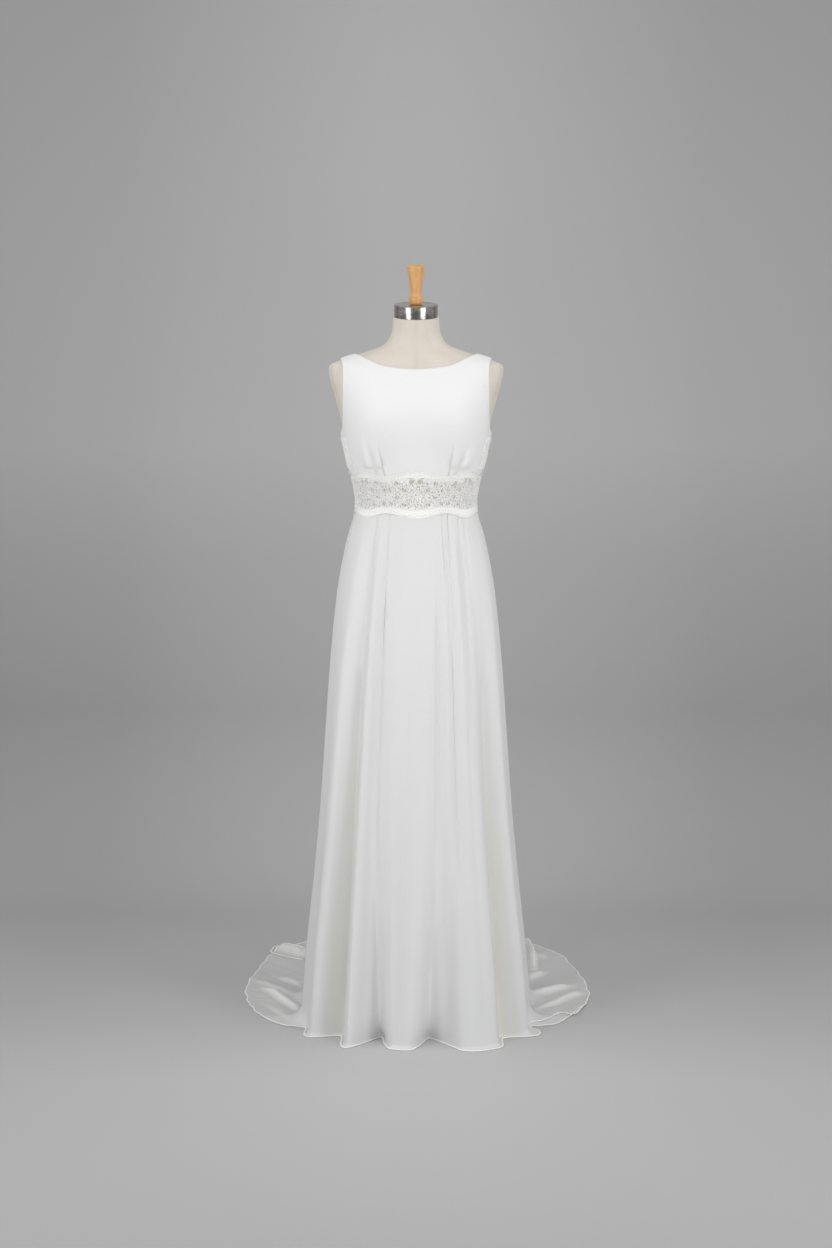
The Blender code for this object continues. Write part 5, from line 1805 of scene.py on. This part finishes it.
def make_form(material):
    """Linen cover of the dress form: a sunk seam down the centre between two stitched lines, with painted
    shade in its sunk lines.
    """
    heights = np.concatenate([
        np.linspace(FORM.keys[0], SLACK_BELOW, SLACK_ROWS),
        np.linspace(SLACK_BELOW, FORM.keys[-1], LINEN_ROWS)[1:],
    ])
    half = np.concatenate([*(np.arange(*run) for run in LINEN_COLUMNS), BACK_SEAM_COLUMNS])
    angles = np.concatenate([-half[-2:0:-1], half])
    grid = form_point(angles[:, None], heights[None, :])
    normal = form_normal(angles[:, None] + heights[None, :] * 0, heights[None, :] + angles[:, None] * 0)
    across = np.abs(grid[..., 0])
    outline = FORM.at(heights)["half_width"][None, :]
    above_low, above_high = (ease_in_out((heights - at) / ARM_PLATE_BLEND) for at in ARM_PLATE_LEVEL)
    on_plate = above_low * (1 - above_high)
    relief, shade = across * 0, across * 0
    for (at, depth, width, dark), away, where in (
        (CENTRE_SEAM, across, 1.0), (TOPSTITCH, across, 1.0), (ARM_PLATE_SEAM, outline - across, on_plate),
    ):
        line = bell(away - at, width) * where
        relief, shade = relief + depth * line, shade + dark * line
    # Painted shade in the sunk seams and stitched lines
    shares = {"seam": np.clip(shade, 0, 1)}
    grid -= normal * relief[..., None]
    piece = grid_object("linen_form", grid, material, closed=True, shares=shares)
    change_mesh(piece.data, close_ends)
    return piece


def make_cap(material):
    """Neck cap with a rounded rim above and a crisp one below."""
    rim, low = [], []
    for turn in RIM_TURNS:
        drop, inset = 1 - math.cos(math.radians(turn)), 1 - math.sin(math.radians(turn))
        rim.append((CAP_HEIGHT - RIM_EDGE * drop, CAP_RADIUS - RIM_EDGE * inset))
        low.append((LOW_EDGE * inset, CAP_RADIUS - LOW_EDGE * drop))
    outline = [(CAP_HEIGHT, 0.0), *rim, *low, (0.0, 0.0)]
    return turned_object("steel_cap", outline, material, neck_frame(METAL_GAP), CAP_STEPS)


def make_handle(material):
    """Turned handle, with fine rings cut round its bulb."""
    heights, radii = curve_through(HANDLE_OUTLINE[:-1], HANDLE_POINTS)
    for level, depth, width in HANDLE_RINGS:
        radii = radii + depth * bell(heights - level, width) * (radii > HANDLE_RINGS_OUTSIDE)
    radii[0] = 0.0
    outline = [*zip(heights, radii), HANDLE_OUTLINE[-1]]
    place = neck_frame(CAP_HEIGHT + 2 * METAL_GAP)
    return turned_object("wood_handle", outline, material, place, HANDLE_STEPS)


# The whole scene


def dress(piece, slot, *nodes):
    """Ride on the one body and stand for CAD nodes, which are hidden; the slot is not used."""
    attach(piece, "root")
    for node in nodes:
        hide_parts(node)


def dress_bodice():
    # The seam tint is painted shade in the tuck creases and in the sunk stitched lines
    cloth = crepe_material(
        "crepe_bodice", (0.862, 0.862, 0.862), (0.832, 0.832, 0.832), (("seam", (0.60, 0.60, 0.59)),),
    )
    edging = thread_material("edge_thread", (0.90, 0.88, 0.84), 0.65)
    pieces = [("bodice_front", *make_bodice_front(cloth, edging))]
    for side, sign in (("left", -1), ("right", 1)):
        pieces.append(("bodice_back_" + side, *make_bodice_back(side, sign, cloth, edging)))
    for node, panel, edges in pieces:
        dress(panel, "crepe_bodice", node)
        dress(edges, "crepe_bodice")


def dress_band():
    ground = net_material("nude_ground", (0.64, 0.585, 0.495), (0.50, 0.455, 0.38))
    net = net_material("lace_net", (0.95, 0.93, 0.895), (0.88, 0.85, 0.80), (0.98, 0.98, 0.97))
    thread = thread_material("lace_thread", (0.97, 0.97, 0.965), 0.55)
    pearl = thread_material("bead_pearl", (0.95, 0.945, 0.93), 0.18, 0.0, 300)
    gaps = large_gaps()
    holes = gaps + small_holes(random.Random(NET_SEED), gaps)
    nets = {}
    for side in BANDS:
        lining = make_ground(side, ground)
        nets[side] = make_lace_net(side, holes, net)
        dress(lining, "nude_ground", "waist_" + side)
        dress(nets[side], "lace_band", "lace_" + side)
    worked = [
        make_border_cords(thread), make_gap_cords(gaps, thread), make_sprigs(gaps, thread),
        make_leaves(gaps, thread), make_beads(gaps, pearl),
    ]
    for piece in worked:
        dress(piece, "lace_band")
    side_nets = [make_side_net(side, net) for side in (-1, 1)]
    trim = make_side_trim(thread)
    dress(trim, "lace_band")
    for piece in side_nets:
        dress(piece, "lace_band")


def dress_skirt():
    light, dark = (0.765, 0.767, 0.764), (0.735, 0.737, 0.734)
    # The low tint is painted shade that darkens the hanging cloth towards the floor
    # The valley tint is painted warm shade in the valleys and at the feet of the train's folds
    low, painted_valley_shade = ("low", (0.57, 0.575, 0.575)), ("painted_valley_shade", (0.68, 0.67, 0.62))
    # The lit tint is painted light in the middle valleys of the front
    front_cloth = crepe_material("crepe_front", light, dark, (low, painted_valley_shade, ("painted_glow", (0.90, 0.90, 0.895))))
    sheer_cloth = crepe_material("crepe_train", light, dark, (low, painted_valley_shade), sheer=True)
    hem_cloth = thread_material("hem_thread", (0.93, 0.93, 0.92), 0.65)
    for side in PANELS:
        panel, hems = make_skirt_panel(side, front_cloth if side == "front" else sheer_cloth, hem_cloth)
        dress(panel, "crepe_skirt", "skirt_" + side)
        for hem in hems:
            dress(hem, "crepe_skirt")


def dress_form():
    dress(make_form(linen_material()), "linen_cover", "form_torso")
    dress(make_cap(steel_material()), "brushed_steel", "neck_cap")
    dress(make_handle(wood_material()), "turned_wood", "neck_handle")
    iron = iron_material()
    for node in ("stand_pole", "stand_base"):
        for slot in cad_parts[node].material_slots:
            slot.material = iron


make_camera()
make_studio()
make_lights()
dress_bodice()
dress_band()
dress_skirt()
dress_form()
